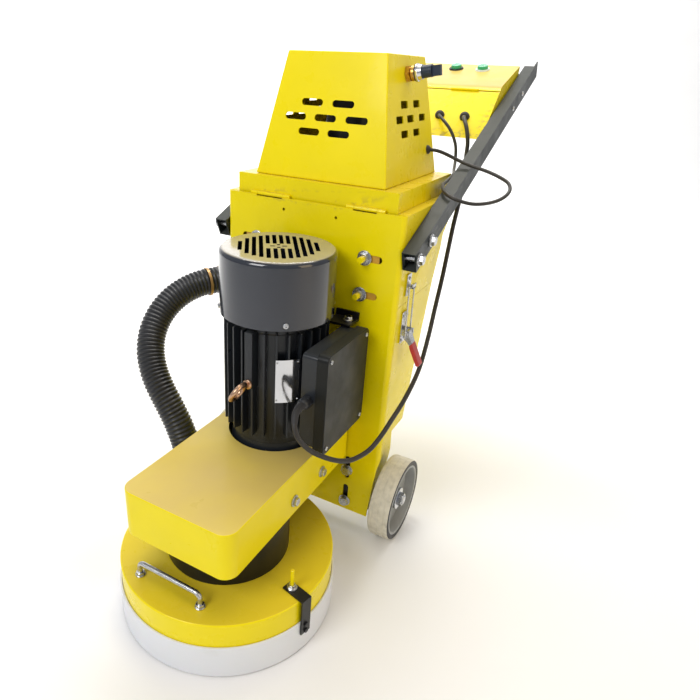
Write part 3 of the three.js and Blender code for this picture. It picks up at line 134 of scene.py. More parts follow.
def make_camera():
    data = bpy.data.cameras.new("camera")
    data.sensor_width = 36
    data.lens = CAMERA_LENS
    data.shift_x, data.shift_y = CAMERA_SHIFT
    camera = bpy.data.objects.new("camera", data)
    bpy.context.scene.collection.objects.link(camera)
    a, e, roll = CAMERA_AZIMUTH, CAMERA_ELEVATION, CAMERA_ROLL
    forward = Vector((-math.sin(a) * math.cos(e), math.cos(a) * math.cos(e), -math.sin(e)))
    level = forward.cross(Vector((0, 0, 1))).normalized()
    above = level.cross(forward)
    right = math.cos(roll) * level + math.sin(roll) * above
    up = -math.sin(roll) * level + math.cos(roll) * above
    turn = Matrix((right, up, -forward)).transposed().to_4x4()
    camera.matrix_world = Matrix.Translation(at(*CAMERA_AT)) @ turn
    bpy.context.scene.camera = camera


# ---------- mesh helpers ----------
def link(name, mesh):
    obj = bpy.data.objects.new(name, mesh)
    bpy.context.scene.collection.objects.link(obj)
    return obj


def shade(bm, angle=35):
    """Smooth faces, with an edge kept sharp where the faces turn by more than the angle."""
    limit = math.radians(angle)
    for face in bm.faces:
        face.smooth = True
    for edge in bm.edges:
        if len(edge.link_faces) == 2:
            edge.smooth = edge.calc_face_angle(0) < limit


def to_object(name, bm, angle=35):
    bmesh.ops.recalc_face_normals(bm, faces=bm.faces)
    shade(bm, angle)
    mesh = bpy.data.meshes.new(name)
    bm.to_mesh(mesh)
    bm.free()
    return link(name, mesh)


def bake(obj):
    """Applies the modifiers of an object to its mesh."""
    graph = bpy.context.evaluated_depsgraph_get()
    final = obj.evaluated_get(graph)
    mesh = bpy.data.meshes.new_from_object(final, preserve_all_data_layers=True, depsgraph=graph)
    obj.modifiers.clear()
    obj.data = mesh
    return obj


def soften(obj, width, segments=2, angle=30):
    """Rounds the edges of an object by a width in millimetres."""
    bevel = obj.modifiers.new("edges", "BEVEL")
    bevel.width = width * MM
    bevel.segments = segments
    bevel.limit_method = "ANGLE"
    bevel.angle_limit = math.radians(angle)
    return bake(obj)


def settle_normals(obj, angle=35):
    """Keeps the flat faces of a piece flat to the light, whatever bevels and holes surround them."""
    custom = obj.data.attributes.get("custom_normal")
    if custom:
        obj.data.attributes.remove(custom)
    bm = bmesh.new()
    bm.from_mesh(obj.data)
    shade(bm, angle)
    bm.to_mesh(obj.data)
    bm.free()
    weighted = obj.modifiers.new("normals", "WEIGHTED_NORMAL")
    weighted.keep_sharp = True
    weighted.weight = 100
    return bake(obj)


def finish_piece(obj, look, nodes=(), body="root"):
    """Gives a piece its material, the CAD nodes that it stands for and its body."""
    settle_normals(obj)
    obj.data.materials.clear()
    obj.data.materials.append(LOOKS[look])
    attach(obj, body)
    if nodes:
        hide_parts(*nodes)
    return obj


def refine(node, look, edge=1.0, segments=2):
    """A finer copy of a CAD node: flat faces joined, and edges rounded."""
    bm = bmesh.new()
    bm.from_mesh(frame["nodes"][node].data)
    bmesh.ops.remove_doubles(bm, verts=bm.verts, dist=1e-5)
    bmesh.ops.dissolve_limit(bm, angle_limit=math.radians(0.5), verts=bm.verts, edges=bm.edges)
    obj = to_object(node + "_fine", bm)
    soften(obj, edge, segments)
    return finish_piece(obj, look, [node], frame["nodes"][node]["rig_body"])


def facing(direction):
    """The turn that takes +Z to a direction."""
    return Vector(direction).to_track_quat("Z", "Y").to_matrix().to_4x4()


def add_lathe(bm, outline, place, sides=96):
    """Adds a turned ring from a closed outline of (radius, height) in millimetres, around `place`'s +Z."""
    rings = []
    for radius, height in outline:
        if radius < 1e-6:
            rings.append([bm.verts.new(place @ Vector((0, 0, height * MM)))])
            continue
        ring = []
        for i in range(sides):
            turn = 2 * math.pi * i / sides
            spot = Vector((radius * MM * math.cos(turn), radius * MM * math.sin(turn), height * MM))
            ring.append(bm.verts.new(place @ spot))
        rings.append(ring)
    closed = outline[0][0] > 1e-6 or outline[-1][0] > 1e-6
    pairs = list(zip(rings, rings[1:] + ([rings[0]] if closed else [])))
    for low, high in pairs:
        if len(low) == 1 and len(high) == 1:
            continue
        for i in range(sides):
            j = (i + 1) % sides
            if len(low) == 1:
                bm.faces.new((low[0], high[j], high[i]))
            elif len(high) == 1:
                bm.faces.new((low[i], low[j], high[0]))
            else:
                bm.faces.new((low[i], low[j], high[j], high[i]))


def place_at(x, y, z, direction=(0, 0, 1)):
    return Matrix.Translation(at(x, y, z)) @ facing(direction)


def lathe(name, outline, spot=(0, 0, 0), direction=(0, 0, 1), sides=96, edge=0.0):
    bm = bmesh.new()
    add_lathe(bm, outline, place_at(*spot, direction), sides)
    obj = to_object(name, bm, 28)
    if edge:
        soften(obj, edge, angle=40)
    return obj


def turned(name, outline, look, nodes=(), body="root", slot=None, **shape):
    """Makes a piece from one lathe outline; shape goes to lathe()."""
    return finish_piece(lathe(name, outline, **shape), look, nodes, body)


def add_box(bm, low, high, place=None):
    """Adds a box between two corners in millimetres; with no place the corners are as in at()."""
    xs, ys, zs = zip(low, high)
    corners = [(x, y, z) for z in zs for y in ys for x in xs]
    if place is None:
        verts = [bm.verts.new(at(*corner)) for corner in corners]
    else:
        verts = [bm.verts.new(place @ (Vector(corner) * MM)) for corner in corners]
    for a, b, c, d in ((0, 2, 3, 1), (4, 5, 7, 6), (0, 1, 5, 4), (1, 3, 7, 5), (3, 2, 6, 7), (2, 0, 4, 6)):
        bm.faces.new([verts[i] for i in (a, b, c, d)])


def add_extrusion(bm, outline, height, place):
    """Adds a prism from an outline of (u, v) in millimetres, standing on `place`."""
    low = [bm.verts.new(place @ Vector((u * MM, v * MM, 0))) for u, v in outline]
    high = [bm.verts.new(place @ Vector((u * MM, v * MM, height * MM))) for u, v in outline]
    bm.faces.new(low[::-1])
    bm.faces.new(high)
    for i in range(len(outline)):
        j = (i + 1) % len(outline)
        bm.faces.new((low[i], low[j], high[j], high[i]))


def cut(obj, cutter):
    """Cuts one object out of another."""
    boolean = obj.modifiers.new("cut", "BOOLEAN")
    boolean.operation = "DIFFERENCE"
    boolean.solver = "EXACT"
    boolean.object = cutter
    bake(obj)
    bpy.data.objects.remove(cutter)
    return obj


def arc(cx, cy, radius, start, end, steps):
    """Points on part of a circle, from one angle to another in degrees."""
    turns = [math.radians(start + (end - start) * i / steps) for i in range(steps + 1)]
    return [(cx + radius * math.cos(turn), cy + radius * math.sin(turn)) for turn in turns]


def smooth_path(points, step):
    """Points every `step` metres along a centripetal Catmull-Rom curve through the given points."""
    points = [Vector(p) for p in points]
    first = points[0] * 2 - points[1]
    last = points[-1] * 2 - points[-2]
    chain = [first, *points, last]
    dense = []
    for a, b, c, d in zip(chain, chain[1:], chain[2:], chain[3:]):
        ab, bc, cd = ((q - p).length ** 0.5 for p, q in ((a, b), (b, c), (c, d)))
        out_b = ((b - a) / ab - (c - a) / (ab + bc) + (c - b) / bc) * bc
        in_c = ((c - b) / bc - (d - b) / (bc + cd) + (d - c) / cd) * bc
        for i in range(24):
            t = i / 24
            dense.append(b * (2 * t**3 - 3 * t**2 + 1) + out_b * (t**3 - 2 * t**2 + t)
                         + c * (-2 * t**3 + 3 * t**2) + in_c * (t**3 - t**2))
    dense.append(points[-1])
    run = [0.0]
    for p, q in zip(dense, dense[1:]):
        run.append(run[-1] + (q - p).length)
    count = max(2, round(run[-1] / step))
    path, k = [], 0
    for i in range(count + 1):
        goal = run[-1] * i / count
        while k < len(run) - 2 and run[k + 1] < goal:
            k += 1
        share = (goal - run[k]) / max(run[k + 1] - run[k], 1e-12)
        path.append(dense[k].lerp(dense[k + 1], min(1.0, max(0.0, share))))
    return path


def add_tube(bm, path, radius, sides=16):
    """Adds a capped tube along a path; radius is metres, or a function of the place along it."""
    tangent = (path[1] - path[0]).normalized()
    normal = tangent.orthogonal().normalized()
    rings = []
    for i, point in enumerate(path):
        ahead = (path[min(i + 1, len(path) - 1)] - path[max(i - 1, 0)]).normalized()
        normal = tangent.rotation_difference(ahead) @ normal
        tangent = ahead
        side = tangent.cross(normal)
        r = radius(i) if callable(radius) else radius
        turns = [2 * math.pi * k / sides for k in range(sides)]
        spots = [point + r * (math.cos(turn) * normal + math.sin(turn) * side) for turn in turns]
        rings.append([bm.verts.new(spot) for spot in spots])
    for low, high in zip(rings, rings[1:]):
        for k in range(sides):
            j = (k + 1) % sides
            bm.faces.new((low[k], low[j], high[j], high[k]))
    bm.faces.new(rings[0][::-1])
    bm.faces.new(rings[-1])


# ---------- looks ----------
def linear(red, green, blue):
    """Linear colour from 0 to 255 display values."""
    values = [((v / 255 + 0.055) / 1.055) ** 2.4 if v > 10 else v / 255 / 12.92 for v in (red, green, blue)]
    return (*values, 1)


class Look:
    """A small builder for one node material around a Principled shader; colours are 0 to 255."""

    def __init__(self, name, colour, roughness, metallic=0.0, coat=0.0, sheen=0.0, shine=0.5):
        self.material = bpy.data.materials.new(name)
        self.material.use_nodes = True
        self.tree = self.material.node_tree
        self.shader = self.tree.nodes["Principled BSDF"]
        self.colour = linear(*colour)
        self.base = roughness
        self.shader.inputs["Base Color"].default_value = self.colour
        self.shader.inputs["Roughness"].default_value = roughness
        self.shader.inputs["Metallic"].default_value = metallic
        self.shader.inputs["Specular IOR Level"].default_value = shine
        self.shader.inputs["Coat Weight"].default_value = coat
        self.shader.inputs["Coat Roughness"].default_value = 0.08
        self.shader.inputs["Sheen Weight"].default_value = sheen
        self.height = None
        self.place = self.node("ShaderNodeTexCoord").outputs["Object"]

    def node(self, kind, **values):
        node = self.tree.nodes.new(kind)
        for key, value in values.items():
            setattr(node, key, value)
        return node

    def join(self, source, target):
        self.tree.links.new(source, target)

    def noise(self, scale, detail=3.0, stretch=(1, 1, 1)):
        mapping = self.node("ShaderNodeMapping")
        mapping.inputs["Scale"].default_value = stretch
        self.join(self.place, mapping.inputs["Vector"])
        noise = self.node("ShaderNodeTexNoise")
        noise.inputs["Scale"].default_value = scale
        noise.inputs["Detail"].default_value = detail
        self.join(mapping.outputs["Vector"], noise.inputs["Vector"])
        return noise.outputs["Fac"]

    def ramp(self, source, *stops):
        ramp = self.node("ShaderNodeValToRGB")
        elements = ramp.color_ramp.elements
        while len(elements) < len(stops):
            elements.new(0.5)
        for element, (spot, colour) in zip(elements, stops):
            element.position = spot
            element.color = colour if isinstance(colour, tuple) else (colour, colour, colour, 1)
        self.join(source, ramp.inputs["Fac"])
        return ramp.outputs["Color"]

    def shades(self, scale, amount, stretch=(1, 1, 1)):
        """Slow colour variation around the base colour."""
        dark = tuple(c * (1 - amount) for c in self.colour[:3]) + (1,)
        light = tuple(min(1.0, c * (1 + amount)) for c in self.colour[:3]) + (1,)
        self.top = self.ramp(self.noise(scale, 4, stretch), (0.3, dark), (0.7, light))
        self.join(self.top, self.shader.inputs["Base Color"])
        return self

    def mark(self, mask, colour):
        """Another colour where the mask is white."""
        mix = self.node("ShaderNodeMix", data_type="RGBA")
        self.join(mask, mix.inputs["Factor"])
        self.join(self.top, mix.inputs["A"])
        mix.inputs["B"].default_value = linear(*colour)
        self.top = mix.outputs["Result"]
        self.join(self.top, self.shader.inputs["Base Color"])
        return self

    def product(self, one, other):
        """The product of two masks."""
        mix = self.node("ShaderNodeMix", data_type="RGBA", blend_type="MULTIPLY")
        mix.inputs["Factor"].default_value = 1
        self.join(one, mix.inputs["A"])
        self.join(other, mix.inputs["B"])
        return mix.outputs["Result"]

    def wear(self, colour, low=0.56, high=0.64):
        """Another colour along the outer edges, broken up by noise."""
        geometry = self.node("ShaderNodeNewGeometry")
        edge = self.ramp(geometry.outputs["Pointiness"], (low, 0.0), (high, 1.0))
        broken = self.ramp(self.noise(90, 5), (0.5, 0.0), (0.62, 1.0))
        return self.mark(self.product(edge, broken), colour)

    def dust_and_reflection(self, colour, cover=0.5, scale=16):
        """Soft patches of dust or dirt."""
        mask = self.ramp(self.noise(scale, 6), (0.62, 0.0), (0.85, cover))
        return self.mark(mask, colour)

    def settled_dust_and_reflection(self, colour, cover):
        """Fine dust and a painted reflection of warm light on the faces that look up, in the piece's own
        directions.
        """
        split = self.node("ShaderNodeSeparateXYZ")
        self.join(self.node("ShaderNodeTexCoord").outputs["Normal"], split.inputs["Vector"])
        upward = self.ramp(split.outputs["Z"], (0.8, 0.0), (0.93, cover))
        thick = self.ramp(self.noise(7, 5), (0.25, 0.7), (0.75, 1.0))
        return self.mark(self.product(upward, thick), colour)

    def gloss(self, scale, spread, stretch=(1, 1, 1)):
        """Roughness that wanders around its base value."""
        low = max(0.03, self.base - spread)
        self.join(self.ramp(self.noise(scale, 4, stretch), (0.3, low), (0.7, self.base + spread)),
                  self.shader.inputs["Roughness"])
        return self

    def bump(self, source, strength, distance=0.0005):
        bump = self.node("ShaderNodeBump")
        bump.inputs["Strength"].default_value = strength
        bump.inputs["Distance"].default_value = distance
        self.join(source, bump.inputs["Height"])
        if self.height is not None:
            self.join(self.height, bump.inputs["Normal"])
        self.height = bump.outputs["Normal"]
        self.join(self.height, self.shader.inputs["Normal"])
        return self

    def grain(self, scale, strength, stretch=(1, 1, 1), distance=0.0005):
        return self.bump(self.noise(scale, 3, stretch), strength, distance)


def painted(name, colour, roughness=0.28, coat=0.6, chip=(90, 88, 80), dust_and_reflection=(150, 146, 138), cover=0.3,
            shine=0.3):
    """Sprayed paint: orange peel, faint shade changes, chips along the edges, and a tint on the faces that
    look up that is part settled dust, part painted reflection of warm light.
    """
    look = Look(name, colour, roughness, coat=coat, shine=shine)
    look.shades(6, 0.05).wear(chip, 0.6, 0.7).settled_dust_and_reflection(dust_and_reflection, cover).gloss(30, 0.07)
    return look.grain(420, 0.05).grain(14, 0.08, distance=0.002).material


def plain(name, colour, roughness, shades, grain, dust_and_reflection=None, gloss=None, subsurface=0.0, **base):
    """Plastic, rubber, paper or bare metal: shade changes, dust and uneven gloss where given, and grain."""
    look = Look(name, colour, roughness, **base)
    look.shader.inputs["Subsurface Weight"].default_value = subsurface
    look.shades(*shades)
    if dust_and_reflection:
        look.dust_and_reflection(*dust_and_reflection)
    if gloss:
        look.gloss(*gloss)
    return look.grain(*grain).material


def make_looks():
    yellow, chip = (240, 220, 2), (170, 150, 60)
    return {
        # The tan tint on the upward faces of the yellow paint is part dust, part a painted reflection of warm
        # light from above.
        "yellow": painted("yellow_paint", yellow, 0.3, 0.12, chip, (208, 172, 70), 0.5, 0.2),
        # A copy of the yellow paint whose upward faces carry more of that tint, part dust and part painted
        # reflection, for the tops of the belt cover and the control lid.
        "dusty_reflecting_top": painted("dusty_reflecting_top_yellow_paint", yellow, 0.34, 0.1, chip, (200, 174, 112), 0.9, 0.2),
        "motor": painted("motor_paint", (32, 36, 41), 0.34, 0.25, (100, 104, 110), (84, 86, 88), 0.4),
        "box": painted("box_paint", (22, 24, 24), 0.42, 0.05, (80, 82, 84), (70, 72, 72), 0.4, 0.2),
        # The cream tint on the cowl's top is part a painted reflection of warm light, part dust.
        "cowl": painted("cowl_paint", (33, 38, 49), 0.16, 0.7, (130, 136, 148), (176, 168, 150), 0.85, 0.5),
        "bar": painted("bar_paint", (35, 41, 40), 0.4, 0.05, (130, 132, 128), (96, 98, 94), 0.4, 0.2),
        "black": painted("black_paint", (18, 18, 20), 0.4, 0.1, (70, 70, 70), (50, 48, 46), 0.3),
        "knob": painted("knob_plastic", (38, 50, 66), 0.38, 0.1, (70, 80, 90)),
        "rim": painted("rim_paint", (17, 17, 18), 0.42, 0.1, (80, 80, 80)),
        "disc": painted("disc_paint", (158, 160, 158), 0.4, 0.1, (150, 150, 148)),
        # The deflector plate's darkened gold is painted shade: it stands for the shade in the slots where the
        # plate shows.
        "shade_dark_gold": painted("shade_dark_gold_paint", (206, 158, 60), 0.34, 0.1, (150, 120, 60)),
        "white": plain("white_plastic", (230, 229, 233), 0.42, (5, 0.03), (260, 0.06),
                       ((196, 190, 176), 0.5, 9), (20, 0.08), subsurface=0.08),
        "rubber": plain("black_rubber", (34, 33, 36), 0.62, (40, 0.25), (700, 0.2),
                        ((120, 112, 100), 0.35, 24), sheen=0.15),
        "lead": plain("lead_rubber", (36, 33, 31), 0.5, (60, 0.2), (900, 0.15), gloss=(80, 0.08), sheen=0.1),
        "hose": plain("hose_rubber", (19, 21, 27), 0.46, (30, 0.25), (500, 0.15),
                      ((110, 106, 100), 0.35, 20), (60, 0.08), coat=0.1, sheen=0.1),
        "tread": plain("grey_tread", (206, 201, 186), 0.68, (90, 0.12), (380, 0.35),
                       ((128, 122, 110), 0.6, 60)),
        "zinc": plain("zinc_steel", (196, 198, 202), 0.3, (70, 0.12), (700, 0.12, (1, 1, 8)),
                      ((150, 130, 96), 0.25, 60), (120, 0.1, (1, 1, 6)), metallic=1.0),
        "chrome": plain("chrome", (215, 217, 222), 0.12, (30, 0.04), (300, 0.03), gloss=(60, 0.05),
                        metallic=1.0),
        "iron": plain("cast_iron", (86, 84, 82), 0.6, (50, 0.2), (420, 0.5), ((120, 84, 58), 0.4, 30),
                      (60, 0.12), metallic=0.85),
        "bronze": plain("bronze", (196, 160, 132), 0.3, (60, 0.2), (500, 0.2), ((110, 92, 78), 0.6, 60),
                        (80, 0.12), metallic=1.0),
        "copper": plain("copper", (188, 112, 66), 0.34, (60, 0.2), (500, 0.2), gloss=(80, 0.12),
                        metallic=1.0),
        "brass": plain("brass", (196, 156, 86), 0.28, (60, 0.12), (600, 0.1), gloss=(90, 0.08), metallic=1.0),
        "green": plain("green_plastic", (26, 168, 116), 0.22, (80, 0.08), (500, 0.04), gloss=(90, 0.05),
                       coat=0.5),
        "bezel": plain("white_bezel", (226, 232, 226), 0.3, (80, 0.05), (500, 0.04), gloss=(90, 0.05),
                       coat=0.3),
        "red": plain("red_grip", (176, 48, 40), 0.4, (80, 0.12), (600, 0.12), ((110, 80, 70), 0.4, 50),
                     (90, 0.08), coat=0.2),
        "plastic": plain("dark_plastic", (36, 38, 42), 0.4, (60, 0.15), (600, 0.12), gloss=(80, 0.08)),
        "grip": plain("grip_sleeve", (28, 28, 30), 0.7, (60, 0.2), (260, 0.6, (1, 4, 4)), sheen=0.2),
        "paper": plain("filter_paper", (222, 214, 196), 0.9, (40, 0.06), (500, 0.3),
                       ((150, 140, 124), 0.6, 20), sheen=0.2),
        "tan": plain("tan_clamp", (188, 150, 96), 0.36, (60, 0.12), (400, 0.15), gloss=(80, 0.08),
                     metallic=0.4),
    }


make_camera()
bpy.context.scene.view_settings.view_transform = "Standard"
LOOKS = make_looks()

# ---------- hose and leads: routes as in the CAD source -----------------------
INLET = {"start": (-189, 330, 517), "direction": (-0.545, -0.838, 0)}
PORT = (-150, 70)
GLAND = (112, 81.7, 417)
LEAD_HOLE_Y = 516


def inlet_point(distance):
    return tuple(a + b * distance for a, b in zip(INLET["start"], INLET["direction"]))


HOSE_ROUTE = [
    inlet_point(46.3), inlet_point(68), (-245, 243, 514), (-261, 213, 505), (-273, 181, 489),
    (-279, 150, 466), (-277, 122, 437), (-266, 100, 405), (-247, 85, 373), (-223, 76, 343), (-198, 72, 312),
    (-172, 70, 271), (-155, 70, 225), (-150, 70, 179), (-150, 70, 165.3),
]
MOTOR_LEAD_ROUTE = [
    (112, 61.7, 417), (112, 55, 417), (114, 39, 413), (120, 26, 401), (128, 21, 385), (138, 27, 367),
    (150, 38, 351), (163, 51, 339), (174, 62, 331), (185, 78, 322), (196, 96, 317), (206, 118, 317),
    (214, 142, 321), (219, 175, 331), (222, 215, 346), (225, 275, 368), (226, 335, 405), (223, 378, 456),
    (219, 412, 509), (217, 441, 568), (214, 466, 622), (210, 492, 662), (205, 525, 694), (198, 560, 713),
    (190, 592, 724), (178, 632, 741), (170, 664, 758), (165, 679, 779), (163, 685, 801), (158, 690, 821),
    (150, 699, 838), (141, 712, 849), (134, 727, 854), (131, 743, 854.5),
]
VACUUM_LEAD_ROUTE = [
    (72, 743, 854.5), (75, 730, 854.5), (84, 717, 851), (98, 705, 843), (113, 697, 831), (126, 691, 815),
    (136, 686, 796), (141, 680, 776), (146, 666, 760), (153, 640, 751), (163, 607, 748), (171, 577, 749),
    (176, 543, 747), (179, 505, 744), (183, 472, 743), (190, 449, 741), (201, 432, 736), (215, 423, 731),
    (233, 423, 726), (255, 430, 722), (276, 443, 723), (294, 460, 728), (305, 480, 736), (307, 499, 745),
    (299, 515, 754), (281, 525, 761), (258, 529, 768), (236, 531, 773), (216, 533, 777), (199, 535, 781),
    (184, 535, 786), (170, 531, 792), (156, 523, 798), (144, 518, 801), (133.5, 516, 801),
]
HOSE_R = 28.5
RIB = {"pitch": 8, "depth": 2.6, "steps": 6}
CUFF_LENGTH = 24


def make_hose():
    step = RIB["pitch"] / RIB["steps"]
    path = smooth_path([at(*p) for p in HOSE_ROUTE], RIB["pitch"] * MM / RIB["steps"])
    cuff = CUFF_LENGTH / step          # the plain ends, in path steps

    def radius(i):
        if i < cuff or i > len(path) - 1 - cuff:
            return HOSE_R * MM
        wave = 0.5 + 0.5 * math.cos(2 * math.pi * i / RIB["steps"])
        return (HOSE_R - RIB["depth"] + RIB["depth"] * wave ** 0.7) * MM

    bm = bmesh.new()
    add_tube(bm, path, radius, 48)
    hose = to_object("suction_hose_fine", bm, 80)
    finish_piece(hose, "hose", ["suction_hose"])
    at(*HOSE_ROUTE[0])


def make_lead(name, route, diameter, lid_share=None):
    """A round lead, its diameter in metres; lid_share holds two points that are not used, and when it is
    given the lead keeps its place in the world and is not attached to a body.
    """
    path = smooth_path([at(*p) for p in route], 0.004)
    bm = bmesh.new()
    add_tube(bm, path, diameter / 2, 16)
    lead = to_object(f"{name}_fine", bm, 60)
    lead.data.materials.append(LOOKS["lead"])
    if lid_share:
        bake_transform(lead)
    else:
        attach(lead, "root")
    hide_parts(name)


make_hose()
make_lead("motor_lead", MOTOR_LEAD_ROUTE[::-1], 0.009)
make_lead("vacuum_lead", VACUUM_LEAD_ROUTE, 0.007, ((150, 640, 760), (150, 530, 790)))


# ---------- more mesh helpers ----------
PLANES = {"YZ": ((0, 1, 0), (0, 0, 1)), "XZ": ((1, 0, 0), (0, 0, 1)), "XY": ((1, 0, 0), (0, 1, 0))}


def add_prism(bm, outline, plane, start, end):
    """Adds a prism whose outline lies in a plane, between two values of the third coordinate."""
    u, v = (Vector(direction) for direction in PLANES[plane])
    w = u.cross(v)
    low = min(start * sum(w), end * sum(w))
    turn = Matrix((u, v, w)).transposed().to_4x4()
    place = Matrix.Translation(Vector((0, AXIS_Y, 0)) + w * low * MM) @ turn
    add_extrusion(bm, outline, abs(end - start), place)


def sorted_corners(a, b):
    """The lowest and the highest corner of the box between two points."""
    return tuple(map(min, a, b)), tuple(map(max, a, b))


def prism(name, outline, plane, start, end):
    bm = bmesh.new()
    add_prism(bm, outline, plane, start, end)
    return to_object(name, bm)


def add_hex(bm, place, radius, low, high):
    """Adds a hexagon with the worn-down corners of a bolt head; radius is to its corners."""
    flat = radius * math.cos(math.pi / 6)
    sides = 36
    rings = [[], [], []]
    for i in range(sides):
        turn = 2 * math.pi * i / sides
        reach = flat / math.cos((turn % (math.pi / 3)) - math.pi / 6)
        shoulder = high - 0.6 * (reach - flat) - 0.4
        for ring, r, z in zip(rings, (reach, reach, flat * 0.95), (low, shoulder, high)):
            spot = Vector((r * MM * math.cos(turn), r * MM * math.sin(turn), z * MM))
            ring.append(bm.verts.new(place @ spot))
    bm.faces.new(rings[0][::-1])
    bm.faces.new(rings[2])
    for a, b in zip(rings, rings[1:]):
        for i in range(sides):
            j = (i + 1) % sides
            bm.faces.new((a[i], a[j], b[j], b[i]))


def add_bolt(bm, spot, direction, head, washer, height):
    place = place_at(*spot, direction)
    add_lathe(bm, [(0, 0), (washer, 0), (washer, 2.0), (washer - 0.7, 2.5), (0, 2.5)], place, 36)
    add_hex(bm, place, head, 2.5, 2.5 + height)


def add_screw(bm, spot, direction, radius):
    """Adds a low screw head with a socket."""
    r = radius
    outline = [(0, 0), (r, 0), (r, 0.35 * r), (0.8 * r, 0.62 * r), (0.42 * r, 0.7 * r),
               (0.42 * r, 0.3 * r), (0, 0.3 * r)]
    add_lathe(bm, outline, place_at(*spot, direction), 24)


def rounded(low, high, radius, steps=6):
    """The outline of a rectangle with round corners."""
    (a0, b0), (a1, b1), r = low, high, radius
    return (arc(a1 - r, b1 - r, r, 0, 90, steps) + arc(a0 + r, b1 - r, r, 90, 180, steps)
            + arc(a0 + r, b0 + r, r, 180, 270, steps) + arc(a1 - r, b0 + r, r, 270, 360, steps))


def make(name, fill, look, nodes=(), body="root", edge=0.0, angle=35):
    """Makes a piece from a function that fills a bmesh."""
    bm = bmesh.new()
    fill(bm)
    obj = to_object(name, bm, angle)
    if edge:
        soften(obj, edge)
    return finish_piece(obj, look, nodes, body)


def rod(radius, low, high):
    """The lathe outline of a plain rod."""
    return [(0, low), (radius, low), (radius, high), (0, high)]


def polar(radius, degrees):
    return radius * math.cos(math.radians(degrees)), radius * math.sin(math.radians(degrees))


# ---------- grinding head ----------
def make_shroud():
    inside, under = SHROUD_R - 3, SHROUD_TOP - 5
    pan = [(40, under), (40, SHROUD_TOP), (SHROUD_R - 2, SHROUD_TOP), (SHROUD_R, SHROUD_TOP - 2),
           (SHROUD_R, 55), (inside, 55), (inside, under)]
    turned("shroud_fine", pan, "yellow", ["shroud"], sides=144, edge=0.7)
    port = [(30, SHROUD_TOP), (28.2, 118.5), (27, 122), (27, 165), (24.5, 165), (24.5, SHROUD_TOP)]
    turned("hose_port", port, "yellow", spot=(*PORT, 0), sides=64)
    spots = [polar(STUD_RADIUS, angle) for angle in BRACKET_ANGLES]

    def studs(bm):
        for x, y in spots:
            add_lathe(bm, [(0, 116), (3.4, 116), (3.4, 160.3), (2.8, 161), (0, 161)], place_at(x, y, 0), 24)

    def nuts(bm):
        for x, y in spots:
            add_bolt(bm, (x, y, 120.3), (0, 0, 1), 7.2, 9.5, 5.5)

    make("bracket_studs", studs, "yellow")
    make("bracket_nuts", nuts, "zinc")


def make_skirt():
    skirt = [(200.8, 2), (203.2, 2), (204, 3.2), (204, 67.8), (203.2, 69), (200.8, 69)]
    turned("dust_skirt_fine", skirt, "white", ["dust_skirt"], "skirt", sides=160)
    for i in (1, 2):
        refine(f"skirt_bracket_{i}", "black", 0.5)


def make_lift_handle():
    y, top, corner, left, right = -155, 145, 10, -78, 55

    def fill(bm):
        path = [(left, y, 117.3)]
        path += [(x, y, z) for x, z in arc(left + corner, top - corner, corner, 180, 90, 8)]
        path += [(x, y, z) for x, z in arc(right - corner, top - corner, corner, 90, 0, 8)]
        path.append((right, y, 117.3))
        add_tube(bm, [at(*p) for p in path], 4.5 * MM, 24)
        for x in (left, right):
            add_lathe(bm, [(4, 117.3), (9, 117.3), (9, 119), (8.4, 119.5), (4, 119.5)], place_at(x, y, 0), 32)
            add_hex(bm, place_at(x, y, 0), 8, 119.5, 124.5)

    make("lift_handle_fine", fill, "zinc", ["lift_handle"])


def make_drum():
    drum = [(30, 117.3), (DRUM_R, 117.3), (DRUM_R, 195.7), (30, 195.7)]
    turned("spindle_housing_fine", drum, "black", ["spindle_housing"], sides=128, edge=1.2)


def make_grinding_disc():
    plate = [(0, 12.3), (172, 12.3), (172, 22), (48, 22), (44, 26), (40, 56), (0, 56)]
    turned("grinding_plate_fine", plate, "iron", ["grinding_plate"], "spindle", sides=128, edge=0.8)
    refine("diamond_disc", "iron", 0.8)


# ---------- belt arm ----------
COVER = {"half": 115, "front": -153, "rear": 262, "low": 196, "high": 288.5, "wall": 3, "corner": 26}


def cover_outline(shrink, rear):
    half, front, r = COVER["half"] - shrink, COVER["front"] + shrink, COVER["corner"] - shrink
    return [(half, rear), (-half, rear), *arc(-half + r, front + r, r, 180, 270, 12),
            *arc(half - r, front + r, r, 270, 360, 12)]


def make_belt_cover():
    low, high, wall = COVER["low"], COVER["high"], COVER["wall"]
    cover = prism("belt_cover_fine", cover_outline(0, COVER["rear"]), "XY", low, high)
    soften(cover, 2.2, 3)
    cut(cover, prism("hollow", cover_outline(wall, COVER["rear"] + 5), "XY", low - 5, high - wall))
    cut(cover, lathe("opening", rod(MOTOR_OPENING_R, 270, 300), (0, MOTOR_Y, 0)))
    for y in ARM_BOLT_Y:
        cut(cover, lathe("holes", rod(4.6, -130, 130), (0, y, ARM_Z), (1, 0, 0), 32))
    finish_piece(cover, "dusty_reflecting_top", ["belt_cover"])

    def bolts(bm):
        for side in (-1, 1):
            for y in ARM_BOLT_Y:
                add_bolt(bm, (side * (COVER["half"] + 0.2), y, ARM_Z), (side, 0, 0), 8.5, 11.5, 6)

    make("cover_bolts", bolts, "zinc")


def make_clamp_plate():
    def plate(bm):
        notch = 50.3
        add_prism(bm, [(-138, 64), (138, 64), (138, 242), (notch, 242), (notch, 205.7), (-notch, 205.7),
                       (-notch, 242), (-138, 242)], "XZ", 269.5, 277.5)

    def bolts(bm):
        for x in (-119, 119):
            for z in (79, 160):
                add_bolt(bm, (x, SHEET_FRONT, z), (0, -1, 0), 10.5, 13, 7.5)
                add_lathe(bm, rod(5.4, 0, 8), place_at(x, 266, z, (0, 1, 0)), 24)

    # The plate's black paint is painted shade for the slots it shows through.
    make("arm_clamp_plate_fine", plate, "black", ["arm_clamp_plate"], edge=0.8)
    make("arm_clamp_bolts", bolts, "zinc")


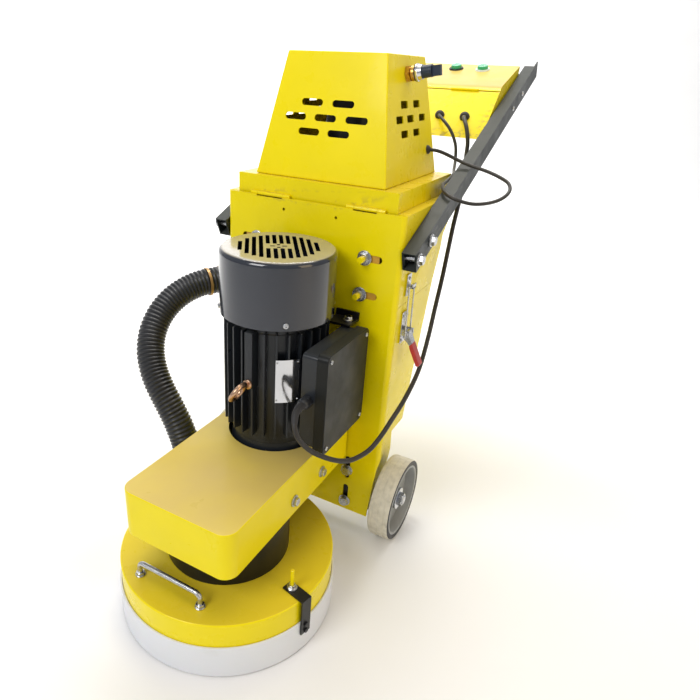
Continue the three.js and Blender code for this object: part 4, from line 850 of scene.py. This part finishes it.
def make_deflector():
    spots = [(side * x, z) for side in (-1, 1) for x, z in ((118, 631), (114, 560))]

    def plate(bm):
        add_box(bm, (-146, 269.3, 550), (146, 273, 645))

    def nuts(bm):
        for x, z in spots:
            add_bolt(bm, (x, SHEET_FRONT, z), (0, -1, 0), 11, 14, 8.2)

    def studs(bm):
        for x, z in spots:
            add_lathe(bm, [(0, 0), (6.1, 0), (6.1, 26.5), (5.2, 27.6), (0, 27.6)],
                      place_at(x, 271.6, z, (0, -1, 0)), 28)

    # The plate's darkened gold is painted shade for the slots in front of it.
    make("deflector_plate_fine", plate, "shade_dark_gold", ["deflector_plate"], edge=0.6)
    make("deflector_nuts", nuts, "zinc")
    make("deflector_studs", studs, "yellow")


# ---------- motor ----------
def make_motor():
    flange = [(26, 266.3), (84, 266.3), (84, 282), (80, 300), (26, 300)]
    turned("motor_flange_fine", flange, "motor", ["motor_flange"], spot=(0, MOTOR_Y, 0), edge=1)

    def frame_body(bm):
        low, high = FRAME_Z
        barrel = [(77.5, low), (83, low), (83, low + 14), (82, low + 16), (82, high - 14), (84, high - 12),
                  (84, high), (26, high), (26, high - 12), (77.5, high - 12)]
        add_lathe(bm, barrel, place_at(0, MOTOR_Y, 0), 112)
        for i in range(FIN_COUNT):
            angle = math.radians(360 * (i + 0.5) / FIN_COUNT)
            turn = Matrix.Translation(at(0, MOTOR_Y, 0)) @ Matrix.Rotation(angle, 4, "Z")
            add_box(bm, (80, -1.9, low + 20), (FIN_R, 1.9, high - 8), turn)
        terminal_pad = (84, 110, 340), (98.1, 204, 490)
        eye_boss = (EYE["x"] - 8, 56.8, EYE["z"] - 8), (EYE["x"] + 8, 78, high - 8)
        add_box(bm, *terminal_pad)
        add_box(bm, *eye_boss)

    make("motor_frame_fine", frame_body, "motor", ["motor_frame"], edge=0.9)


GRILLE = {"pitch": 12.3, "slot": 7.4, "reach": 77, "turn": 34, "centre": 15}
GRILLE_CROSS = (((-3, -12), (3, -5)), ((-3, 5), (3, 12)), ((-15, -2.6), (-6, 2.6)), ((6, -2.6), (15, 2.6)))


def grille_slots():
    """The lowest and highest corner of each slot in the cowl's grille, before the grille is turned."""
    half = GRILLE["slot"] / 2
    for column in range(-6, 6):
        x = (column + 0.5) * GRILLE["pitch"]
        end = math.sqrt(GRILLE["reach"] ** 2 - (abs(x) + half) ** 2) - 1
        if abs(x) < 2 * GRILLE["pitch"]:
            yield (x - half, -end), (x + half, -GRILLE["centre"])
            yield (x - half, GRILLE["centre"]), (x + half, end)
        else:
            yield (x - half, -end), (x + half, end)


def make_cowl():
    wall, edge = 2.5, 9
    outer = [(COWL_R, COWL_BOTTOM), *arc(COWL_R - edge, COWL_TOP - edge, edge, 0, 90, 8), (0, COWL_TOP)]
    inner = [(0, COWL_TOP - wall), *arc(COWL_R - edge, COWL_TOP - edge, edge - wall, 90, 0, 6),
             (COWL_R - wall, COWL_BOTTOM)]
    cowl = lathe("fan_cowl_fine", outer + inner, (0, MOTOR_Y, 0), sides=128)
    turn = place_at(0, MOTOR_Y, COWL_TOP - 15) @ Matrix.Rotation(math.radians(GRILLE["turn"]), 4, "Z")
    bm = bmesh.new()
    for low, high in grille_slots():
        add_extrusion(bm, rounded(low, high, 1.6, 3), 30, turn)
    for low, high in GRILLE_CROSS:
        add_extrusion(bm, rounded(low, high, 1.2, 3), 30, turn)
    cut(cowl, to_object("grille", bm))
    finish_piece(cowl, "cowl", ["fan_cowl"])

    def screws(bm):
        for angle in (40, 130, 220, 310):
            x, y = polar(COWL_R - 0.2, angle)
            out = polar(1, angle)
            add_screw(bm, (x, MOTOR_Y + y, 549), (*out, 0), 5)

    make("cowl_screws", screws, "zinc")


def make_nameplate():
    """A blank plate across the fins, held by four rivets."""
    r, middle, width = NAMEPLATE["r"], NAMEPLATE["angle"], NAMEPLATE["width"]
    low, high = NAMEPLATE["low"], NAMEPLATE["high"]

    def plate(bm):
        steps = 12
        rings = []
        for i in range(steps + 1):
            angle = middle - width / 2 + width * i / steps
            (ax, ay), (bx, by) = polar(r, angle), polar(r + NAMEPLATE["thick"], angle)
            corners = ((ax, ay, low), (ax, ay, high), (bx, by, high), (bx, by, low))
            rings.append([bm.verts.new(at(x, MOTOR_Y + y, z)) for x, y, z in corners])
        for a, b in zip(rings, rings[1:]):
            for k in range(4):
                j = (k + 1) % 4
                bm.faces.new((a[k], a[j], b[j], b[k]))
        bm.faces.new(rings[0])
        bm.faces.new(rings[-1])

    def rivets(bm):
        for angle in (middle - 11, middle + 11):
            x, y = polar(99, angle)
            for z in (low + 5, high - 5):
                add_screw(bm, (x, MOTOR_Y + y, z), (*polar(1, angle), 0), 1.8)

    make("nameplate", plate, "chrome")
    make("nameplate_rivets", rivets, "zinc")


def make_terminal_box():
    refine("terminal_box", "motor", 1.2)
    refine("terminal_lid", "box", 2.5, 4)

    def screws(bm):
        for y in (90, 230):
            for z in (328, 499):
                add_screw(bm, (149.6, y, z), (1, 0, 0), 4.2)

    make("terminal_lid_screws", screws, "zinc")

    def gland(bm):
        place = place_at(*GLAND, (0, -1, 0))
        add_hex(bm, place, 12, 0, 8)
        add_lathe(bm, [(0, 7), (11, 7), (11, 13), (10, 17), (7.5, 19.4), (4.7, 19.6), (0, 19.6)], place, 40)

    make("cable_gland_fine", gland, "plastic", ["cable_gland"])


def make_lifting_eye():
    def fill(bm):
        x, z, ring = EYE["x"], EYE["z"], EYE["ring"]
        axis = (math.cos(EYE["tilt"]), 0, -math.sin(EYE["tilt"]))
        wire = [(ring + c, s) for c, s in arc(0, 0, EYE["wire"], 0, 345, 23)]
        shank = [(0, 0), (9, 0), (9, 2.6), (7.6, 3.6), (5, 4), (5, 13), (0, 13)]
        add_lathe(bm, wire, place_at(x, EYE["y"], z, axis), 72)
        add_lathe(bm, shank, place_at(x, 56.5, z + 2, (0, -1, 0)), 40)

    make("lifting_eye_fine", fill, "bronze", ["lifting_eye"])


# ---------- body ----------
def make_body():
    refine("chassis_frame", "yellow", 0.9)
    refine("filter_chamber", "yellow", 1.0)
    refine("dust_bin", "yellow", 1.0)
    refine("motor_stay", "black", 0.8)

    def clamp(bm):
        place = place_at(*inlet_point(49), INLET["direction"])
        clamp_ring = [(HOSE_R - 1, 0), (30.6, 0), (31.2, 1), (31.2, 11), (30.6, 12), (HOSE_R - 1, 12)]
        add_lathe(bm, clamp_ring, place, 64)

    make("inlet_clamp", clamp, "tan")

    def port_clamp(bm):
        x, y = PORT
        place = place_at(x, y, 169)
        add_lathe(bm, [(HOSE_R - 1, 0), (29.8, 0), (29.8, 10), (HOSE_R - 1, 10)], place, 64)
        add_box(bm, (-7, -36, 1), (7, -28, 9), place)
        add_screw(bm, (x - 7, y - 32, 174), (-1, 0, 0), 3.5)

    def band(bm):
        add_lathe(bm, [(28.4, -2.5), (30.2, -2.5), (30.2, 2.5), (28.4, 2.5)],
                  place_at(-237, 256, 515.4, (-0.552, -0.831, -0.07)), 64)

    def stay_bolt(bm):
        add_bolt(bm, (104, 245, 512.1), (0, 0, 1), 7.8, 9.5, 5.4)

    def relief(bm):
        path = smooth_path([at(*p) for p in MOTOR_LEAD_ROUTE[:4]], 0.002)
        add_tube(bm, path, lambda i: (8 - 3 * i / (len(path) - 1)) * MM, 32)

    make("port_clamp", port_clamp, "zinc")
    make("hose_band", band, "tan")
    make("stay_bolt", stay_bolt, "zinc")
    make("lead_strain_relief", relief, "rubber")


def make_filter():
    """A pleated paper cartridge with a flange that lies on the filter seat."""
    def pleats(bm):
        count = 72
        rings = []
        for z in (580, 692):
            ring = []
            for i in range(2 * count):
                r = 61.5 if i % 2 else 55
                x, y = polar(r, 180 * i / count)
                ring.append(bm.verts.new(at(x, FILTER_Y + y, z)))
            rings.append(ring)
        for i in range(2 * count):
            j = (i + 1) % (2 * count)
            bm.faces.new((rings[0][i], rings[0][j], rings[1][j], rings[1][i]))

    def caps(bm):
        bottom = [(38, 575), (62, 575), (62, 581), (38, 581)]
        flange = [(38, 693.3), (76, 693.3), (76, 699), (74.5, 700), (38, 700)]
        core = [(38, 580), (39.5, 580), (39.5, 694), (38, 694)]
        for outline in (bottom, flange, core):
            add_lathe(bm, outline, place_at(0, FILTER_Y, 0), 64)

    make("filter_pleats", pleats, "paper", angle=5)
    make("filter_cartridge_fine", caps, "rubber", ["filter_cartridge"], edge=0.5)


# ---------- lid and hood ----------
FRONT_SLOTS = (((-34, 29), 886), ((-65, -3, 60), 860.5), ((-33, 28), 835.5))
SIDE_VENTS = (((400, 463), 888), ((374, 428, 491), 863), ((395, 457), 837.5))


def tapered(name, shrink, low, high):
    """A block that tapers from the hood's base to its top, drawn in and stretched by the given amounts."""
    def corner(rect, sx, sy):
        y = rect["rear"] - shrink if sy > 0 else rect["front"] + shrink
        return Vector((sx * (rect["half"] - shrink), y, rect["z"]))

    bm = bmesh.new()
    rings = []
    for z in (HOOD_BASE["z"] + low, HOOD_TOP["z"] + high):
        share = (z - HOOD_BASE["z"]) / (HOOD_TOP["z"] - HOOD_BASE["z"])
        spots = [corner(HOOD_BASE, sx, sy).lerp(corner(HOOD_TOP, sx, sy), share)
                 for sx, sy in ((-1, -1), (1, -1), (1, 1), (-1, 1))]
        rings.append([bm.verts.new(at(*spot)) for spot in spots])
    bm.faces.new(rings[0][::-1])
    bm.faces.new(rings[1])
    for i in range(4):
        j = (i + 1) % 4
        bm.faces.new((rings[0][i], rings[0][j], rings[1][j], rings[1][i]))
    return to_object(name, bm)


def make_hood():
    hood = soften(tapered("hood_fine", 0, 0, 0), 2.6, 4)
    cut(hood, tapered("hollow", 2.5, -5, -2.5))
    bm = bmesh.new()
    for xs, z in FRONT_SLOTS:
        for x in xs:
            add_prism(bm, rounded((x - 22, z - 6), (x + 22, z + 6), 5.9), "XZ", 280, 345)
    cut(hood, to_object("slots", bm))
    bm = bmesh.new()
    for ys, z in SIDE_VENTS:
        for y in ys:
            add_prism(bm, rounded((y - 17, z - 6.5), (y + 17, z + 6.5), 2.5, 3), "YZ", -160, 160)
    cut(hood, to_object("vents", bm))
    cut(hood, lathe("lead_hole", rod(6, 0, 40), (110, LEAD_HOLE_Y, 800), (1, 0, 0), 32))
    cut(hood, lathe("selector_hole", rod(8, -12, 8), SELECTOR_FOOT, SELECTOR_AXIS, 32))
    finish_piece(hood, "yellow", ["hood"], "top_lid")
    refine("lid", "yellow", 1.6, 3)

    def grommet(bm):
        add_lathe(bm, [(3.6, -2), (8.5, -2), (9, 0), (8, 2.5), (5, 5), (3.6, 7)],
                  place_at(129, LEAD_HOLE_Y, 801, (1, 0, 0.17)), 32)

    make("hood_grommet", grommet, "rubber", body="top_lid")


def make_vacuum_motor():
    outline = [(30, 0), (72, 0), (72, 60), (52, 66), (48, 150), (30, 156), (20, 156), (20, 140), (30, 130)]
    # The dark plastic look is painted shade for the inside of the hood, seen through its slots.
    turned("vacuum_motor_fine", outline, "plastic", ["vacuum_motor"], "top_lid", "zinc_steel",
           spot=(0, 420, 752.6), sides=80, edge=1.5)


def make_selector():
    place = place_at(*SELECTOR_FOOT, SELECTOR_AXIS)

    def base(bm):
        add_lathe(bm, rod(7.6, -20, 0.8), place, 40)
        add_hex(bm, place, 15, 0.5, 9)
        add_lathe(bm, [(0, 8.8), (11.5, 8.8), (13.4, 10.5), (13.4, 15), (12.4, 17), (0, 17)], place, 56)

    def ring(bm):
        collar = [(0, 19), (14.8, 19), (15.5, 19.7), (15.5, 22.3), (14.8, 23), (14, 23.2), (12.6, 30),
                  (0, 30)]
        add_lathe(bm, collar, place, 56)

    def gasket(bm):
        add_lathe(bm, rod(14.6, 16.9, 19.1), place, 56)

    def knob(bm):
        add_lathe(bm, [(0, 30.4), (10.4, 30.4), (11, 31.4), (11, 46.6), (9.6, 48), (0, 48)], place, 56)

    make("selector_base_fine", base, "brass", ["selector_base"], body="top_lid")
    make("selector_ring", ring, "chrome", body="top_lid")
    make("selector_gasket", gasket, "rubber", body="top_lid")
    make("selector_knob_round", knob, "knob", body="selector")
    refine("selector_knob", "knob", 1.4, 3)


# ---------- handle and controls ----------
def bar_point(along, up=0.0):
    c, s = math.cos(BAR_ANGLE), math.sin(BAR_ANGLE)
    return BAR_START[0] + along * c - up * s, BAR_START[1] + along * s + up * c


def make_bar(side, sign):
    refine(f"{side}_handle_bar", "bar", 1.8, 3)

    def bolts(bm):
        for along in BAR_BOLTS:
            spot = (sign * BAR_BOLT_X, *bar_point(along))
            add_bolt(bm, spot, (sign, 0, 0), 9.5, 12, 7)
            add_lathe(bm, rod(5.4, -32, 0), place_at(*spot, (sign, 0, 0)), 24)
        ends = [bar_point(16, -8), bar_point(86, -8), bar_point(86, 8), bar_point(16, 8)]
        add_prism(bm, ends, "YZ", sign * 181.5, sign * 186.2)

    def screws(bm):
        for along in BAR_SCREWS:
            add_screw(bm, (sign * BAR_SCREW_X, *bar_point(along)), (sign, 0, 0), 5.5)

    make(f"{side}_bar_bolts_fine", bolts, "zinc", [f"{side}_bar_bolts"])
    make(f"{side}_bar_screws", screws, "zinc")


def make_grip():
    def grip(bm):
        outline = [(0, -189.7), (12.2, -189.7), (13, -188)]
        for i in range(62):
            x = -186 + 6 * i
            outline += [(13, x), (12.1, x + 1), (12.1, x + 2), (13, x + 3)]
        outline += [(13, 188), (12.2, 189.7), (0, 189.7)]
        add_lathe(bm, outline, place_at(*GRIP_AT, (1, 0, 0)), 48)

    make("grip_bar_fine", grip, "grip", ["grip_bar"])


def panel_point(along, up):
    c, s = math.cos(PANEL_SLOPE), math.sin(PANEL_SLOPE)
    return PANEL_EDGE[0] + along * c - up * s, PANEL_EDGE[1] + along * s + up * c


def make_controls():
    refine("control_box", "yellow", 0.8)
    refine("control_lid", "dusty_reflecting_top", 0.7)
    normal = (0, -math.sin(PANEL_SLOPE), math.cos(PANEL_SLOPE))
    for i, (x, look) in enumerate(zip(BUTTON_X, ("plastic", "bezel")), start=1):
        place = place_at(x, *panel_point(BUTTON_ALONG, 0), normal)

        def bezel(bm, place=place):
            ring = [(13.3, -0.6), (17.8, -0.6), (17.8, 0.8), (16.6, 3.3), (13.3, 3.3)]
            add_lathe(bm, ring, place, 64)

        def cap(bm, place=place):
            button = [(0, -16), (13, -16), (13, 9.3), (12.2, 10.3), (8, 10.5), (6.5, 10.1), (0, 9.8)]
            add_lathe(bm, button, place, 64)

        make(f"button_bezel_{i}", bezel, look, body="panel_lid")
        make(f"start_button_{i}_fine", cap, "green", [f"start_button_{i}"], body=f"button_{i}")

    def grommets(bm):
        for x, hole, lead in ((72, 7.5, 3.6), (131, 8, 4.6)):
            ring = [(lead, -3), (hole + 3, -3), (hole + 3, 3), (hole + 1, 5.5), (lead + 0.8, 7), (lead, 7)]
            add_lathe(bm, ring, place_at(x, 744, 854.2, (0, -1, 0.25)), 32)

    make("box_grommets", grommets, "rubber")


# ---------- wheels ----------
def wheel_outlines():
    """The parts of one wheel: name, lathe outline of (radius, distance from the middle), look, sides."""
    inner, outer = WHEEL_X
    band = [(86.5, inner + 1.5), (88.8, inner + 1.2), (WHEEL_R, inner + 4)]
    for x in (198, 210.7, 223.5):
        band += [(WHEEL_R, x - 1.2), (89.2, x - 0.8), (89.2, x + 0.8), (WHEEL_R, x + 1.2)]
    band += [(WHEEL_R, outer - 4), (88.8, outer - 1.2), (86.5, outer - 1.5)]
    wall = [(78.2, inner + 1), (86, inner), (88.3, inner + 1), (86.6, inner + 2), (86.6, outer - 2),
            (88.3, outer - 1), (86, outer), (78.2, outer - 1)]
    rim = [(71, inner + 1), (78, inner + 1), (78, outer - 1), (74, outer - 1), (72.5, outer - 3),
           (70, inner + 24), (70, inner + 14)]
    disc = [(10.3, inner + 14), (70.5, inner + 14), (70.5, inner + 24), (62, inner + 23), (40, inner + 21),
            (26, inner + 24), (10.3, inner + 24)]
    hub = [(10.3, inner), (28, inner), (29, inner + 13), (27, inner + 23), (25, inner + 25), (24, 224),
           (22, 224.6), (10.3, 224.6)]
    yield "tyre_fine", band, "tread", 112
    yield "tyre_wall", wall, "rim", 112
    yield "rim", rim, "disc", 112
    yield "wheel_core_fine", disc, "disc", 96
    yield "hub", hub, "chrome", 64


def make_wheels():
    for side, sign in (("left", -1), ("right", 1)):
        for part, outline, look, sides in wheel_outlines():
            name = f"{side}_{part}"
            nodes = [name[:-len("_fine")]] if name.endswith("_fine") else ()
            slot = "grey_tread" if part.startswith("tyre") else "wheel_metal"
            turned(name, outline, look, nodes, f"{side}_wheel", slot, spot=(0, WHEEL_Y, WHEEL_R),
                   direction=(sign, 0, 0), sides=sides)

    def axle(bm):
        place = place_at(0, WHEEL_Y, WHEEL_R, (1, 0, 0))
        add_lathe(bm, [(0, -236), (9, -236), (10, -235), (10, 235), (9, 236), (0, 236)], place, 48)
        for sign in (-1, 1):
            low, high = sorted((sign * 225, sign * 234))
            add_hex(bm, place, 15, low, high)
            low, high = sorted((sign * 168, sign * 186.5))
            add_lathe(bm, [(9.9, low), (14, low), (14, high), (9.9, high)], place, 40)

    make("wheel_axle_fine", axle, "zinc", ["wheel_axle"])


# ---------- latches ----------
GRIP_OUTLINE = [(214.8, 469), (219, 460.5), (234.8, 428), (234, 425.6), (229.8, 424), (227.6, 425),
                (211.2, 457), (209.4, 463.4)]
LATCH_WALL = 191            # the inner face of the latch's plates
LATCH_FACE = 192.4          # their outer face


def make_latch(side, sign, y):
    refine(f"{side}_latch_lever", "zinc", 0.5)

    def grip(bm):
        add_prism(bm, [(sign * x, z) for x, z in GRIP_OUTLINE], "XZ", y - 9.6, y + 9.6)

    def wire(bm):
        corner, leg = 4, 13.5
        low = Vector((sign * 201, y, 477))
        high = Vector((sign * 198.3, y, 582.5))
        up = (high - low).normalized()
        across = Vector((0, 1, 0))
        middle = (low + high) / 2
        quarter = arc(0, 0, corner, 0, 90, 6)
        for end, other in ((low, 1), (high, -1)):
            path = []
            for hand in (-1, 1):
                centre = end + across * hand * (leg - corner) + up * other * corner
                turns = [centre + across * hand * c - up * other * s for c, s in quarter]
                path += turns if hand < 0 else turns[::-1]
            points = (middle - across * leg, *path, middle + across * leg)
            add_tube(bm, [at(*p) for p in points], 1.5 * MM, 14)

    def plates(bm):
        def slab(inner, outer, low_y, high_y, low_z, high_z):
            """A box given by its distances from the machine's middle and from the latch's centre."""
            a = (sign * inner, y + low_y, low_z)
            b = (sign * outer, y + high_y, high_z)
            add_box(bm, *sorted_corners(a, b))

        def screw(across, z):
            add_screw(bm, (sign * LATCH_FACE, y + across, z), (sign, 0, 0), 3)

        for low, high, half in ((465, 529, 14), (561, 603, 10)):
            slab(LATCH_WALL, LATCH_FACE, -half, half, low, high)
        for end in (-1, 1):
            slab(LATCH_WALL, 208.6, end * 9.3, end * 11.5, 482.5, 494.5)
            screw(end * 9, 521)
            screw(end * 9, 471)
            add_lathe(bm, [(0, 0), (3.6, 0), (3.6, 1), (2.6, 1.8), (0, 1.8)],
                      place_at(sign * 203, y + end * 11.5, 488, (0, end, 0)), 24)
        slab(LATCH_WALL, 204, -7.3, 7.3, 577.2, 580.3)
        slab(200.9, 204, -7.3, 7.3, 577.3, 586.3)
        for z in (569, 595):
            screw(0, z)

    make(f"{side}_latch_plates", plates, "zinc", edge=0.4)
    make(f"{side}_latch_grip", grip, "red", body=f"{side}_lever", edge=1.4)
    make(f"{side}_latch_bail_fine", wire, "zinc", [f"{side}_latch_bail"], body=f"{side}_bail")


# ---------- CAD nodes that stay as they are ----------
KEPT = {
    "belt_base": "black", "v_belt": "rubber", "spindle_shaft": "zinc", "driven_pulley": "iron",
    "drive_pulley": "iron", "cooling_fan": "plastic", "motor_rotor": "zinc", "motor_stator": "copper",
    "motor_bearing_lower": "zinc", "motor_bearing_upper": "zinc", "spindle_bearings": "zinc",
}


def dress_kept_nodes():
    for node, look in KEPT.items():
        mesh = frame["nodes"][node].data
        mesh.materials.clear()
        mesh.materials.append(LOOKS[look])


# ---------- floor and lights ----------
def make_floor():
    """A pale floor that sweeps up behind the machine."""
    wide, near, bend, radius, high = 6.0, -5.0, 2.6, 1.6, 5.0
    profile = [(near, 0.0), *arc(bend, radius, radius, -90, 0, 16), (bend + radius, high)]
    turn = Matrix.Rotation(CAMERA_AZIMUTH, 4, "Z")
    bm = bmesh.new()
    rows = [[bm.verts.new(turn @ Vector((x, y, z))) for x in (-wide, wide)] for y, z in profile]
    for a, b in zip(rows, rows[1:]):
        bm.faces.new((a[0], a[1], b[1], b[0]))
    floor = to_object("floor", bm, 60)
    look = Look("floor", (238, 238, 238), 0.6)
    floor.data.materials.append(look.shades(3, 0.01).gloss(12, 0.05).grain(120, 0.03).material)


def area_light(name, spot, aim, power, size, colour):
    data = bpy.data.lights.new(name, "AREA")
    data.shape = "RECTANGLE"
    data.size, data.size_y = size
    data.energy = power
    data.color = colour
    light = bpy.data.objects.new(name, data)
    bpy.context.scene.collection.objects.link(light)
    light.matrix_world = Matrix.Translation(spot) @ facing(Vector(spot) - Vector(aim))


# Name, place and aim in metres, power in watts, size in metres, colour.
CENTRE = (0, 0, 0.5)
LIGHTS = [
    ("key", (-0.6, -3.0, 2.7), CENTRE, 58, (1.5, 1.5), (1, 1, 1)),
    ("top", (0.1, 0.4, 3.2), CENTRE, 30, (2.6, 2.6), (1, 0.88, 0.66)),
    ("side", (2.8, -0.5, 1.5), CENTRE, 17, (1.2, 2.2), (1, 0.76, 0.42)),
    ("backdrop", (-0.9, 1.2, 3.6), (-1.9, 3.6, 1.0), 200, (3.0, 1.5), (1, 1, 1)),
]
WORLD_COLOUR = (0.96, 0.97, 1, 1)
WORLD_STRENGTH = 0.42


def make_lights():
    world = bpy.data.worlds.new("studio")
    world.use_nodes = True
    background = world.node_tree.nodes["Background"]
    background.inputs["Color"].default_value = WORLD_COLOUR
    background.inputs["Strength"].default_value = WORLD_STRENGTH
    bpy.context.scene.world = world
    for light in LIGHTS:
        area_light(*light)


# ---------- the whole machine ----------
make_shroud()
make_skirt()
make_lift_handle()
make_drum()
make_grinding_disc()
make_belt_cover()
make_clamp_plate()
make_deflector()
make_motor()
make_cowl()
make_nameplate()
make_terminal_box()
make_lifting_eye()
make_body()
make_filter()
make_hood()
make_vacuum_motor()
make_selector()
make_bar("left", -1)
make_bar("right", 1)
make_grip()
make_controls()
make_wheels()
for latch_side, (latch_sign, latch_y) in LATCHES.items():
    make_latch(latch_side, latch_sign, latch_y)
dress_kept_nodes()
make_floor()
make_lights()
